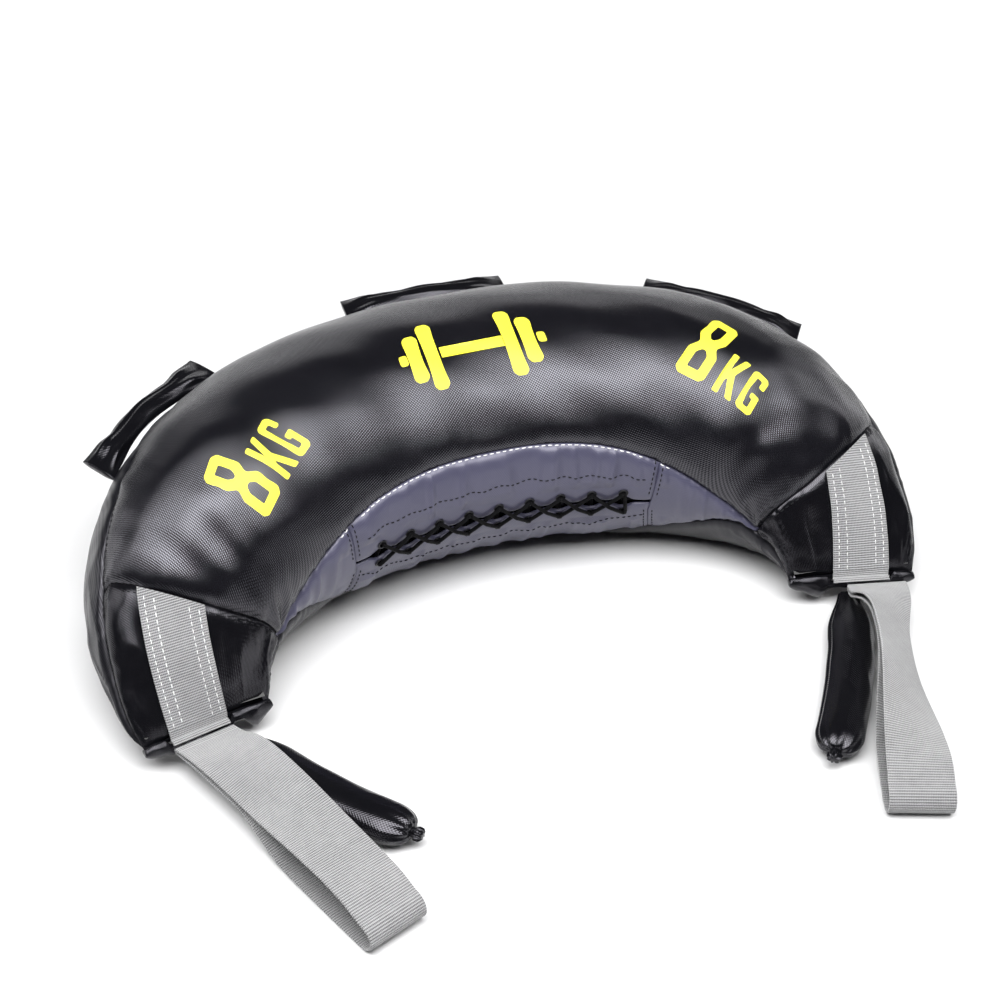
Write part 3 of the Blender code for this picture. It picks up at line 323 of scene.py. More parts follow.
# %% Node helpers
def new_group(name, inputs, outputs):
    """A shader node group with float or vector sockets; returns it with its input and output nodes."""
    group = bpy.data.node_groups.new(name, "ShaderNodeTree")
    for label, kind, value in inputs:
        made = group.interface.new_socket(label, in_out="INPUT", socket_type=kind)
        if value is not None:
            made.default_value = value
    for label in outputs:
        group.interface.new_socket(label, in_out="OUTPUT", socket_type="NodeSocketFloat")
    return group, group.nodes.new("NodeGroupInput"), group.nodes.new("NodeGroupOutput")


def maths(tree, operation, *values):
    """Adds a Math node and links or sets its values; returns its output."""
    node = tree.nodes.new("ShaderNodeMath")
    node.operation = operation
    for slot, value in zip(node.inputs, values):
        if isinstance(value, (int, float)):
            slot.default_value = value
        else:
            tree.links.new(value, slot)
    return node.outputs[0]


def weave_group():
    """Threads over and under: height = (1 + sin u sin v) / 2, with u and v in turns of one pitch."""
    sockets = [("Cloth", "NodeSocketVector", None), ("Pitch", "NodeSocketFloat", 0.001)]
    group, start, end = new_group("weave", sockets, ["Height"])
    split = group.nodes.new("ShaderNodeSeparateXYZ")
    group.links.new(start.outputs["Cloth"], split.inputs[0])
    waves = []
    for axis in (0, 1):
        turns = maths(group, "DIVIDE", split.outputs[axis], start.outputs["Pitch"])
        waves.append(maths(group, "SINE", maths(group, "MULTIPLY", turns, 2 * math.pi)))
    height = maths(group, "MULTIPLY_ADD", maths(group, "MULTIPLY", *waves), 0.5, 0.5)
    group.links.new(height, end.inputs["Height"])
    return group


def mottle_group():
    """Two noises of different size, mixed: soft patches with a finer grain in them."""
    sockets = [("Place", "NodeSocketVector", None), ("Scale", "NodeSocketFloat", 12.0)]
    group, start, end = new_group("mottle", sockets, ["Value"])
    values = []
    for factor in (1.0, 9.0):
        noise = group.nodes.new("ShaderNodeTexNoise")
        noise.inputs["Detail"].default_value = 3.0
        group.links.new(start.outputs["Place"], noise.inputs["Vector"])
        group.links.new(maths(group, "MULTIPLY", start.outputs["Scale"], factor), noise.inputs["Scale"])
        values.append(noise.outputs["Fac"])
    mixed = maths(group, "MULTIPLY_ADD", values[1], 0.35, maths(group, "MULTIPLY", values[0], 0.65))
    group.links.new(mixed, end.inputs["Value"])
    return group


WEAVE, MOTTLE = weave_group(), mottle_group()


def place_group(tree, group, vector, **values):
    """Puts a group in a material, fed with a place and plain values."""
    node = tree.nodes.new("ShaderNodeGroup")
    node.node_tree = group
    tree.links.new(vector, node.inputs[0])
    for label, value in values.items():
        node.inputs[label.capitalize()].default_value = value
    return node.outputs[0]


def mixed_colour(tree, fac, first, second):
    """A Mix node between two colours."""
    node = tree.nodes.new("ShaderNodeMix")
    node.data_type = "RGBA"
    tree.links.new(fac, node.inputs["Factor"])
    for slot, colour in ((6, first), (7, second)):
        node.inputs[slot].default_value = (*colour, 1.0)
    return node.outputs[2]


def mapped(tree, fac, low, high, start=0.0, end=1.0):
    """A Map Range node: fac from start to end becomes low to high."""
    node = tree.nodes.new("ShaderNodeMapRange")
    tree.links.new(fac, node.inputs["Value"])
    for label, value in (("From Min", start), ("From Max", end), ("To Min", low), ("To Max", high)):
        node.inputs[label].default_value = value
    return node.outputs["Result"]


def new_material(name, **plain):
    """A material with its Principled shader, UV and object places; plain values go on the shader."""
    made = bpy.data.materials.new(name)
    made.use_nodes = True
    tree = made.node_tree
    shader = tree.nodes["Principled BSDF"]
    for label, value in plain.items():
        shader.inputs[label.replace("_", " ").title().replace("Ior", "IOR")].default_value = value
    places = tree.nodes.new("ShaderNodeTexCoord")
    return made, tree, shader, places.outputs["UV"], places.outputs["Object"]


def bumped(tree, shader, layers):
    """Chains Bump nodes, one per (height, distance, strength), into the shader's normal."""
    normal = None
    for height, distance, strength in layers:
        bump = tree.nodes.new("ShaderNodeBump")
        bump.inputs["Distance"].default_value = distance
        bump.inputs["Strength"].default_value = strength
        tree.links.new(height, bump.inputs["Height"])
        if normal is not None:
            tree.links.new(normal, bump.inputs["Normal"])
        normal = bump.outputs["Normal"]
    tree.links.new(normal, shader.inputs["Normal"])


def tint(tree, shader, fac, dark, light):
    """The base colour goes from dark to light with fac."""
    tree.links.new(mixed_colour(tree, fac, dark, light), shader.inputs["Base Color"])


def cloth_noise(tree, place, scale, stretch):
    """A noise over a stretched place, for small folds that are only in the shading."""
    mapping = tree.nodes.new("ShaderNodeMapping")
    mapping.inputs["Scale"].default_value = stretch
    tree.links.new(place, mapping.inputs["Vector"])
    noise = tree.nodes.new("ShaderNodeTexNoise")
    noise.inputs["Scale"].default_value = scale
    noise.inputs["Detail"].default_value = 2.0
    tree.links.new(mapping.outputs[0], noise.inputs["Vector"])
    return noise.outputs["Fac"]


# %% Coated cloths
WEAVE_PITCH, COOL_SHINE = 0.0020, (0.93, 0.91, 1.0, 1.0)


def coated_cloth(name, dark, light, rough, weave, folds, shine=0.60):
    """Vinyl over a woven base: a square weave in gloss, shine and bump, soft patches in its colour and gloss,
    and fine folds in its bump.
    """
    made, tree, shader, cloth, place = new_material(name, specular_tint=COOL_SHINE)
    weave_height = place_group(tree, WEAVE, cloth, pitch=WEAVE_PITCH)
    patches = place_group(tree, MOTTLE, place, scale=14.0)
    tint(tree, shader, patches, dark, light)
    gloss = mapped(tree, patches, rough - 0.02, rough + 0.06, 0.3, 0.7)
    gloss = maths(tree, "MULTIPLY_ADD", weave_height, -0.06, gloss)
    tree.links.new(gloss, shader.inputs["Roughness"])
    level = mapped(tree, weave_height, shine - weave, shine + weave)
    tree.links.new(level, shader.inputs["Specular IOR Level"])
    fine = cloth_noise(tree, place, 60.0, (1.0, 1.0, 1.0))
    bumped(tree, shader, [(fine, 0.004, folds), (weave_height, 0.00035, 0.85 * weave)])
    return made


NEAR_BLACK, SOFT_BLACK = (0.003, 0.003, 0.004), (0.006, 0.006, 0.008)
black_cloth = coated_cloth("black_coated_cloth", NEAR_BLACK, SOFT_BLACK, 0.20, 0.46, 0.03)
black_gloss = coated_cloth("black_glossy_cloth", (0.002, 0.002, 0.003), (0.005, 0.005, 0.006), 0.18, 0.30,
                           0.08, 0.42)
# The underside is the top's black cloth again, made rougher and less shiny as painted shade, so that its
# lower sides, which lie in shade, mirror the bright floor less.
shaded_under_cloth = coated_cloth("black_cloth_shaded_copy", NEAR_BLACK, SOFT_BLACK, 0.34, 0.18, 0.03, 0.30)
grey_cloth = coated_cloth("grey_coated_cloth", (0.046, 0.045, 0.076), (0.057, 0.056, 0.091), 0.36, 0.12, 0.12)

# %% [markdown]
# The webbing is woven from thick yarns: fine ribs run across it, each broken into short stitches,
# lighter on their tops and darker between them as painted shade. The lace is a round braid and the sewing
# thread is twisted.

# %% Webbing, cord, thread, metal and wadding
RIB_PITCH, YARN_PITCH, BRAID_PITCH = 0.0016, 0.0010, 0.0011


def half_wave(tree, turn):
    """(1 + sin turn) / 2."""
    return maths(tree, "MULTIPLY_ADD", maths(tree, "SINE", turn), 0.5, 0.5)


def webbing_cloth():
    """Cross ribs broken by columns of yarn, on light grey with painted shade between them; V of the UV map
    runs along the band.
    """
    made, tree, shader, cloth, place = new_material("grey_webbing", roughness=0.82, sheen_weight=0.3,
                                                    sheen_roughness=0.5)
    split = tree.nodes.new("ShaderNodeSeparateXYZ")
    tree.links.new(cloth, split.inputs[0])
    columns = maths(tree, "MULTIPLY", split.outputs[0], 2 * math.pi / YARN_PITCH)
    turn = maths(tree, "MULTIPLY", split.outputs[1], 2 * math.pi / RIB_PITCH)
    shifted = maths(tree, "ADD", turn, maths(tree, "MULTIPLY", maths(tree, "SINE", columns), 0.35))
    ribs, yarns = half_wave(tree, shifted), half_wave(tree, columns)
    height = maths(tree, "MULTIPLY_ADD", yarns, 0.3, maths(tree, "MULTIPLY", ribs, 0.7))
    patches = place_group(tree, MOTTLE, place, scale=25.0)
    # The colour follows the weave's height, darker in the grooves as painted shade, mixed with the band's own
    # soft patches.
    groove_shade_and_patches = maths(tree, "MULTIPLY_ADD", height, 0.6, maths(tree, "MULTIPLY", patches, 0.4))
    tint(tree, shader, mapped(tree, groove_shade_and_patches, 0, 1, 0.20, 0.70), (0.065, 0.065, 0.068), (0.37, 0.37, 0.375))
    bumped(tree, shader, [(height, 0.0007, 0.9)])
    return made


def braided_cord():
    """A braid: two families of slanted lines that cross, on near black."""
    made, tree, shader, cloth, place = new_material("black_braid", roughness=0.5, specular_ior_level=0.06)
    height = place_group(tree, WEAVE, cloth, pitch=BRAID_PITCH)
    tint(tree, shader, height, (0.001, 0.001, 0.001), (0.006, 0.006, 0.007))
    bumped(tree, shader, [(height, 0.0006, 0.8)])
    return made


def noisy_material(name, scale, stretch, dark, light, depth, strength, **plain):
    """One noise in both colour and bump: the twist of a thread, or the fluff of wadding."""
    made, tree, shader, cloth, place = new_material(name, **plain)
    noise = cloth_noise(tree, place, scale, stretch)
    tint(tree, shader, noise, dark, light)
    bumped(tree, shader, [(noise, depth, strength)])
    return made


def sewing_thread(name, dark, light):
    """Twisted thread: slanted stripes over the place of each stitch."""
    return noisy_material(name, 1500.0, (1.0, 0.3, 1.0), dark, light, 0.0003, 0.5, roughness=0.7,
                          specular_ior_level=0.2)


def eyelet_metal():
    """Blackened metal, in soft patches a little lighter and rougher."""
    made, tree, shader, cloth, place = new_material("blackened_metal", metallic=1.0)
    patches = place_group(tree, MOTTLE, place, scale=300.0)
    tint(tree, shader, patches, (0.012, 0.012, 0.013), (0.060, 0.060, 0.065))
    tree.links.new(mapped(tree, patches, 0.2, 0.42), shader.inputs["Roughness"])
    return made


def printed_ink():
    """Thick screen-print ink: warm yellow with small pinholes of gloss, over the weave."""
    made, tree, shader, cloth, place = new_material("yellow_print", specular_ior_level=0.4)
    weave_height = place_group(tree, WEAVE, cloth, pitch=WEAVE_PITCH)
    patches = place_group(tree, MOTTLE, place, scale=30.0)
    tint(tree, shader, patches, (0.86, 0.80, 0.035), (0.95, 0.90, 0.055))
    tree.links.new(mapped(tree, patches, 0.42, 0.52), shader.inputs["Roughness"])
    bumped(tree, shader, [(weave_height, 0.0003, 0.3)])
    return made


webbing, braid, metal = webbing_cloth(), braided_cord(), eyelet_metal()
light_thread = sewing_thread("light_thread", (0.60, 0.60, 0.60), (0.85, 0.85, 0.85))
dark_thread = sewing_thread("dark_thread", (0.002, 0.002, 0.003), (0.010, 0.010, 0.012))
# The wadding's dark grey is painted shade for the open seams where the filling shows through.
wadding = noisy_material("wadding", 220.0, (1.0, 1.0, 1.0), (0.05, 0.05, 0.05), (0.10, 0.10, 0.10), 0.002,
                         0.6, roughness=1.0)
ink = printed_ink()
print(len(bpy.data.materials), "materials")

# %% [markdown]
# ## The lacing's places
# Nine pairs of holes lie a pitch apart along the slit. Their places are worked out first, because
# the flaps, the eyelets, the lace and the folds between them all follow from them.

# %% The lacing's places
LACE_PAIRS, LACE_PITCH, SLIT = 9, 0.0212, math.radians(191.0)
SLIT_HALF, SLIT_TO_HOLE, FLAP_MARGIN = 0.0035, 0.006, 0.008
SLIT_NEAR, SLIT_OPEN = 0.0022, 0.0036
spread = np.linspace(0, END_ANGLE / 2, 400)
slit_run = run_along(surface(spread, np.full_like(spread, SLIT)))


def slit_angle(place):
    """The centre-line angle of a signed distance along the slit from its middle."""
    return np.sign(place) * np.interp(np.abs(place), slit_run, spread)


LACE_ANGLES = slit_angle(LACE_PITCH * (np.arange(LACE_PAIRS) - (LACE_PAIRS - 1) / 2))
FLAP_END = float(slit_angle(LACE_PITCH * LACE_PAIRS / 2 + FLAP_MARGIN) / cross_seam(SLIT))
HOLE_TURN = (SLIT_HALF + SLIT_TO_HOLE) / (BODY_WIDTH / 2)
print("lace holes at", np.round(np.degrees(LACE_ANGLES), 1), "flaps end at column", round(FLAP_END, 3))


def slit_edge(side):
    """The slit's upper edge for side -1, its lower one for side 1: open at the holes, near between."""
    def edge(phi):
        run = np.interp(np.abs(phi), spread, slit_run) / LACE_PITCH
        open_share = (1 + np.cos(2 * math.pi * run)) / 2 * np.clip((LACE_PAIRS / 2 - run) / 0.3, 0, 1)
        return SLIT + side * (SLIT_NEAR + SLIT_OPEN * open_share) / (BODY_WIDTH / 2)
    return edge


# %% [markdown]
# ## The cover
# The stuffed cover is taut, so its panels follow the crescent and only their seams pull in. Sewing
# gathers the cloth, so short puckers stand across every seam, and long folds spread from the
# corners, where three panels meet. Each height below is in metres and is added along the normal.

# %% The cover's relief
GROOVE_DEPTH, GROOVE_REACH, PUCKER_REACH, PUCKER_LENGTH = 0.0026, 0.0032, 0.009, 0.017
STRAP_START, STRAP_EDGE, EYELET_EDGE, LACED_ANGLE = 1.2, 0.007, 0.006, 0.86


def seam_groove(distance):
    """A valley as deep as GROOVE_DEPTH, fading with e to the minus distance over GROOVE_REACH."""
    return -GROOVE_DEPTH * np.exp(-np.abs(distance) / GROOVE_REACH)


def puckers(along, distance, size, seed):
    """Short folds across a seam. Their place counts the signed distance, so both sides agree at it."""
    fading = size * np.exp(-np.abs(distance) / PUCKER_REACH)
    return fading * ripple(along, distance, PUCKER_LENGTH, 0.10, seed)


def strap_press(phi, theta):
    """1 under the sewn webbing, 0 some millimetres beside it."""
    offset = np.abs(half_width(phi) * np.cos(theta) - SEWN_PLACE) - WEBBING_HALF
    return np.clip(1 - offset / STRAP_EDGE, 0, 1) * (np.abs(phi) > STRAP_START)


def lace_press(phi, theta):
    """1 round the eyelets and 0 a little further out."""
    reach = np.abs(theta - SLIT) * BODY_WIDTH / 2 - (SLIT_HALF + 2 * SLIT_TO_HOLE)
    return np.clip(1 - reach / EYELET_EDGE, 0, 1) * np.clip((1 - np.abs(phi) / LACED_ANGLE) / 0.06, 0, 1)


# Where folds spread from: (height, (angle along, degrees round), folds in a turn, reach, seed).
TOP_CORNERS = [(0.0018, (1.43, 183.0), 7, 0.03, 1.0)]
END_CORNERS = [(0.0020, (1.43, 184.0), 6, 0.028, 0.4), (0.0016, (LIP_ANGLE, 182.0), 7, 0.020, 2.0),
               (0.0022, (LIP_ANGLE, 0.0), 7, 0.026, 1.1), (0.0010, (1.383, 44.0), 5, 0.03, 2.4)]
GREY_CORNERS = [(0.0012, (1.43, 187.0), 6, 0.04, 0.7)]


def corner_folds(phi, theta, corners):
    """The sum of the spokes of a panel's corners."""
    return sum(height * spokes(phi, theta, *rest) for height, *rest in corners)


def top_relief(phi, theta):
    """Nearly smooth: long swells, and folds outside the weight marks that run out to the end corners."""
    u, v = phi * ALONG, theta * ROUND
    swell = 0.0009 * ripple(u, v, 0.16, 0.12, 3)
    ends = np.clip((np.abs(phi) - 1.05) / 0.35, 0, 1)
    tense = 0.0007 * ends * ripple(u + 0.4 * v, v, 0.045, 0.10, 5)
    near_outer = np.exp(-(theta - outer_seam(phi)) * ROUND / 0.02)
    outer = 0.0010 * np.clip((np.abs(phi) - 0.5) / 0.6, 0, 1) * near_outer * ripple(u, v, 0.024, 0.06, 6)
    return swell + tense + outer + corner_folds(phi, theta, TOP_CORNERS)


def end_relief(phi, theta):
    """Taut and glossy: broad soft waves, a few sharp creases, and folds from the four corners."""
    u, v = phi * ALONG, theta * ROUND
    waves = 0.0009 * ripple(u, v, 0.075, 0.080, 11) + 0.0008 * crease(u, v, 0.10, 0.075, 12, 4.0)
    to_lip = (LIP_ANGLE - np.abs(phi)) * ALONG
    corners = np.exp(-(np.hypot(to_lip, v) / 0.022))
    corners = corners + np.exp(-(np.hypot(to_lip, (theta - math.pi) * ROUND) / 0.016))
    crinkle = 0.0020 * corners * crease(u, v, 0.020, 0.016, 13, 2.0)
    loose = np.clip((LIP_ANGLE - np.abs(phi)) / 0.05, 0.3, 1)
    folds = waves + corner_folds(phi, theta, END_CORNERS)
    return folds * loose * (1 - strap_press(phi, theta)) + crinkle


def under_relief(phi, theta):
    """Soft folds where the underside turns up from the floor, and some at its two ends."""
    u, v = phi * ALONG, theta * ROUND
    ends = np.clip((np.abs(phi) - 1.0) / 0.5, 0, 1)
    near_outer = np.exp(-(outer_seam_from_below(phi) - theta) * ROUND / 0.03)
    side = 0.0009 * ripple(u, v, 0.07, 0.07, 21) + 0.0006 * near_outer * ripple(u, v, 0.022, 0.07, 22)
    end = ends * (0.0007 * ripple(u, v, 0.05, 0.06, 23) + 0.0008 * crease(u, v, 0.07, 0.06, 24, 4.0))
    return side * (1 - 0.6 * ends) + end


def grey_relief(phi, theta):
    """Soft upright folds, as cloth that is gathered by the lace; flatter round the eyelets."""
    u, v = phi * INNER_ALONG, theta * ROUND
    upright = 0.0008 * ripple(u, v, 0.028, 0.20, 31) + 0.0020 * crease(u, v, 0.034, 0.30, 32, 2.4)
    folds = upright + corner_folds(phi, theta, GREY_CORNERS)
    return folds * (1 - 0.8 * lace_press(phi, theta))


# %% The panels' seams and heights
PANELS = {
    "top": (outer_seam, inner_seam, -1.0, 1.0, top_relief),
    "under": (lower_seam, outer_seam_from_below, -2.0, 2.0, under_relief),
    "left_end": (outer_seam, lower_seam, -2.0, -1.0, end_relief),
    "right_end": (outer_seam, lower_seam, 1.0, 2.0, end_relief),
    "left_inner": (inner_seam, lower_seam, -1.0, -FLAP_END, grey_relief),
    "right_inner": (inner_seam, lower_seam, FLAP_END, 1.0, grey_relief),
    "upper_flap": (inner_seam, slit_edge(-1), -FLAP_END, FLAP_END, grey_relief),
    "lower_flap": (slit_edge(1), lower_seam, -FLAP_END, FLAP_END, grey_relief),
}
SEAM_SEEDS = {outer_seam: 42, inner_seam: 43, lower_seam: 44, outer_seam_from_below: 42}
SEAM_PUCKER, CROSS_PUCKER, DEEPEST, CALM_REACH = 0.0004, 0.0003, -0.0032, 0.006


def column_at(phi, theta):
    """The column of a place: its share of the way to the cross seam, then 1 plus that to the lip."""
    size, seam = np.abs(phi), cross_seam(theta)
    return np.sign(phi) * np.where(size < seam, size / seam, 1 + (size - seam) / (LIP_ANGLE - seam))


def cover_height(panel, phi, theta):
    """The relief of a panel plus the grooves and puckers of the four seams round it."""
    low, high, first, last, relief = PANELS[panel]
    to_low, to_high = (theta - low(phi)) * ROUND, (high(phi) - theta) * ROUND
    column = column_at(phi, theta)
    length = np.where(np.abs(column) > 1, LIP_ANGLE - cross_seam(theta), cross_seam(theta)) * ALONG
    to_first, to_last = (column - first) * length, (last - column) * length
    height = 0 * phi
    for distance, seam, sign in ((to_low, low, 1), (to_high, high, -1)):
        if seam in SEAM_SEEDS:
            height = height + seam_groove(distance)
            height += puckers(phi * ALONG, sign * distance, SEAM_PUCKER, SEAM_SEEDS[seam])
        else:
            height = height + 0.25 * seam_groove(distance)
    for distance, edge in ((to_first, first), (to_last, last)):
        depth = 0.4 if abs(edge) < 1 else 1.0
        height = height + depth * seam_groove(distance)
        if abs(edge) == 1:
            side = distance if panel.endswith("end") else -distance
            height += puckers(theta * ROUND, side, CROSS_PUCKER, 45 + (edge > 0))
    nearest = np.minimum(np.minimum(to_low, to_high), np.minimum(to_first, to_last))
    calm = 1 - np.exp(-np.maximum(nearest, 0) / CALM_REACH)
    return np.maximum(height, DEEPEST) + relief(phi, theta) * calm


def on_cover(panel, phi, theta, lift=0.0):
    """A place on a panel's modelled face, lifted by some metres."""
    return raised(phi, theta, cover_height(panel, phi, theta) + lift)


# %% A panel of the cover
TURNED_IN, FLAP_TURNED_IN, HOLE_CUT = -0.0055, -0.0028, 0.0024


def flat_pattern(phi, theta, middle_row):
    """UV in metres: centre(phi) + outward(phi) times (middle row - theta) times the section's radius."""
    centre, outward, _ = centre_point(phi)
    return (centre + outward * ((math.radians(middle_row) - theta) * ROUND)[..., None])[..., :2]


def cover_panel(panel, columns, rows, material, middle_row, replaces, spread=None, holes=None):
    """Places a grid between two seams, adds its height and turns the four edges inwards."""
    low, high = PANELS[panel][:2]
    column, row = np.meshgrid(columns, rows, indexing="ij")
    row = row if spread is None else spread(column, row)
    phi, theta = chart(column, row, low, high)
    height = np.pad(cover_height(panel, phi, theta), 1, mode="edge")
    phi, theta = np.pad(phi, 1, mode="edge"), np.pad(theta, 1, mode="edge")
    height[[0, -1], :] = height[:, [0, -1]] = TURNED_IN if holes is None else FLAP_TURNED_IN
    points = raised(phi, theta, height)
    quads = grid_quads(*phi.shape)
    if holes is not None:
        middles = points.reshape(-1, 3)[quads].mean(axis=1)
        gap = np.linalg.norm(middles[:, None] - holes[None], axis=2).min(axis=1)
        quads = quads[gap > HOLE_CUT]
    add_piece(f"{panel}_cover", points, quads, material, "bag", flat_pattern(phi, theta, middle_row),
              surface_normal(phi, theta), replaces)


def shares(count):
    """Even shares from 0 to 1."""
    return np.linspace(0, 1, count)


def even(start, end, spacing, reach):
    """Columns from start to end, about spacing metres apart where a column is reach metres long."""
    return np.linspace(start, end, max(3, int(abs(end - start) * reach / spacing)))


def lip_rows(column, row):
    """Rows spread as on a circle in the middle and evenly in width at the flat lip."""
    blend = np.clip(2 * (np.abs(column) - 1), 0, 1)
    return row * (1 - blend) + np.arccos(1 - 2 * row) / math.pi * blend


# %% The cover's panels
HOLES = {side: surface(LACE_ANGLES, SLIT + side * HOLE_TURN + 0 * LACE_ANGLES) for side in (-1, 1)}
cover_panel("top", even(-1, 1, 0.0014, 0.28), shares(121), black_cloth, 100, ["top_panel"])
cover_panel("under", even(-2, 2, 0.0022, 0.28), shares(131), shaded_under_cloth, 320, ["bottom_panel"],
            lip_rows)
for side, sign in SIDES.items():
    ends = sorted((sign * 1.0, sign * 2.0))
    cover_panel(f"{side}_end", even(*ends, 0.0009, 0.11), shares(171), black_gloss, 100,
                [f"{side}_end_panel"], lip_rows)
    ends = sorted((sign * FLAP_END, sign * 1.0))
    cover_panel(f"{side}_inner", even(*ends, 0.0012, 0.2), shares(61), grey_cloth, 190,
                [f"{side}_inner_panel"])
for name, side, rows in (("upper", -1, 61), ("lower", 1, 71)):
    cover_panel(f"{name}_flap", even(-FLAP_END, FLAP_END, 0.0007, 0.15), shares(rows), grey_cloth, 190,
                [f"{name}_lacing_flap"], None, HOLES[side])

# %% [markdown]
# ## Tongue, eyelets and lace
# Behind the slit lies a tongue. Each eyelet is a small turned ring with a rounded brim. The lace is
# one cord, laid twice over the slit: each half crosses from hole to hole, goes in, and comes out at
# the pair's other hole. One half passes over the other, so its crossings are lifted.

# %% The tongue
TONGUE_HALF, TONGUE_DEPTH = 0.023, -0.0044


def build_tongue():
    """A strip of cloth under the slit, a little wavy."""
    turn = TONGUE_HALF / (BODY_WIDTH / 2)
    phi, theta = chart(*np.meshgrid(even(-FLAP_END, FLAP_END, 0.002, 0.2), shares(25), indexing="ij"),
                       lambda phi: SLIT - turn + 0 * phi, lambda phi: SLIT + turn + 0 * phi)
    height = TONGUE_DEPTH + 0.0009 * ripple(phi * INNER_ALONG, theta * ROUND, 0.012, 0.02, 51)
    add_piece("tongue", raised(phi, theta, height), grid_quads(*phi.shape), black_gloss, "bag",
              flat_pattern(phi, theta, 190), surface_normal(phi, theta), ["lacing_tongue"])


build_tongue()


# %% Turned rings and tubes
EYELET_MIDDLE, EYELET_HEIGHT = 0.0027, 0.0005   # the middle of the ring's wall
EYELET_SIDES = 32


def build_eyelets():
    """Each ring is a closed profile of radii and heights, in millimetres, turned about the hole's axis."""
    profile = np.array([(2.0, .5), (2.05, .68), (2.3, .78), (2.8, .76), (3.25, .6), (3.45, .36), (3.4, .28),
                        (2.45, .28), (2.45, -1.5), (3.4, -1.5), (3.45, -1.6), (2.3, -1.8), (2.0, -1.6),
                        (2.0, -.5)]) / 1000
    turns = np.linspace(0, 2 * math.pi, EYELET_SIDES, endpoint=False)
    phi = np.tile(LACE_ANGLES, 2)
    theta = SLIT + HOLE_TURN * np.repeat([-1, 1], LACE_PAIRS)
    normal = surface_normal(phi, theta)
    along = surface(phi + 1e-3, theta) - surface(phi - 1e-3, theta)
    along /= np.linalg.norm(along, axis=-1, keepdims=True)
    ways = surface(phi, theta), along, np.cross(normal, along), normal
    place, along, across, normal = (way[:, None, None] for way in ways)
    radius, height = profile[:, 0][None, :, None, None], profile[:, 1][None, :, None, None]
    cosine, sine = np.cos(turns)[None, None, :, None], np.sin(turns)[None, None, :, None]
    points = place + along * radius * cosine + across * radius * sine + normal * height
    one = grid_quads(len(profile), len(turns), True, True)
    size = len(profile) * len(turns)
    quads = np.concatenate([one + k * size for k in range(len(phi))])
    names = [f"{row}_eyelet_{k + 1}" for row in ("upper", "lower") for k in range(LACE_PAIRS)]
    outward = points - place - (along * cosine + across * sine) * EYELET_MIDDLE + normal * EYELET_HEIGHT
    add_piece("eyelets", points, quads, metal, "bag", None, outward, names)


build_eyelets()


def tube_frames(line):
    """Unit tangents of a line and two directions across it, carried along with the least turning."""
    tangent = np.gradient(line, axis=0)
    tangent /= np.linalg.norm(tangent, axis=1, keepdims=True)
    first = np.cross(tangent[0], (0.3, 0.2, 1.0))
    side = [first / np.linalg.norm(first)]
    for way in tangent[1:]:
        turned = side[-1] - way * (side[-1] @ way)
        side.append(turned / np.linalg.norm(turned))
    side = np.array(side)
    return tangent, side, np.cross(tangent, side)


def with_poles(points, uv, ring, poles, ways):
    """Adds a ring that is drawn together to a point before the first ring and after the last one."""
    caps, ends = ([way[None, None].repeat(points.shape[1], 1) for way in pair] for pair in (poles, ways))
    return (np.concatenate([caps[0], points, caps[1]]), np.concatenate([uv[:1], uv, uv[-1:]]),
            np.concatenate([ends[0], ring, ends[1]]))


def tube(line, radius, around):
    """Rings round a line: the centre plus the radius times (cos, sin) of the way round; flat ends."""
    tangent, side, up = tube_frames(line)
    turns = np.linspace(0, 2 * math.pi, around + 1)
    ring = side[:, None] * np.cos(turns)[None, :, None] + up[:, None] * np.sin(turns)[None, :, None]
    uv = np.stack(np.broadcast_arrays(turns[None] * radius, run_along(line)[:, None]), axis=-1)
    return with_poles(line[:, None] + ring * radius, uv, ring, line[[0, -1]], (-tangent[0], tangent[-1]))


# %% The lace
LACE_RADIUS, LACE_UP, LACE_DOWN, LACE_OVER, LACE_BESIDE = 0.0013, 0.0020, 0.0035, 0.0022, 0.0022
LACE_STEP, LACE_ROUNDING = 0.0004, 7


def lace_strand(row, over):
    """Over the slit to the next pair's hole on this row's side, in, and out of the pair's other hole."""
    beside = (over - 0.5) * LACE_BESIDE / ALONG
    hole, other = (SLIT + side * HOLE_TURN for side in (row, -row))
    route = [raised(LACE_ANGLES[0] + beside, other, height) for height in (-LACE_DOWN, LACE_UP)]
    for before, phi in zip(LACE_ANGLES, LACE_ANGLES[1:]):
        for share, lift in ((0.25, 0.5), (0.5, 1.0), (0.75, 0.5)):
            route += [raised(before + (phi - before) * share + beside, other + (hole - other) * share,
                             LACE_UP + over * LACE_OVER * lift)]
        route += [raised(phi + beside, hole, height) for height in (LACE_UP, -LACE_DOWN)]
        route += [raised(phi + beside, other, height) for height in (-LACE_DOWN, LACE_UP)]
    if over:
        bar = [raised(phi + 2 * beside, theta, LACE_UP) for theta in (SLIT, hole)]
        return route + bar + [raised(phi, hole, -LACE_DOWN)]
    return route[:-2]


def build_lace():
    """One cord through all the holes; its corners are rounded by a weighted mean over 1.6 mm."""
    bar = [raised(LACE_ANGLES[0], SLIT, -LACE_DOWN)]
    line = np.array(lace_strand(-1, 0)[::-1] + bar + lace_strand(1, 1))
    line = along_line(line, np.arange(0, run_along(line)[-1], LACE_STEP))
    kernel = np.hanning(LACE_ROUNDING) / np.hanning(LACE_ROUNDING).sum()
    padded = np.pad(line, ((LACE_ROUNDING // 2,) * 2, (0, 0)), mode="edge")
    line = np.stack([np.convolve(column, kernel, "valid") for column in padded.T], axis=1)
    add_tube("lace", tube(line, LACE_RADIUS, 12), braid, "bag", ["lacing_cord"])
    print("lace length", round(float(run_along(line)[-1]), 3), "m")


build_lace()

# %% [markdown]
# ## Filling
# The stuffing fills the cover to 6 mm under its face. It is only seen where a hole or seam is open, and its
# dark grey there is painted shade.

# %% Filling
FILLING_DEPTH, FILLING_FLOOR, FILLING_END = -0.006, 0.0025, 1.93


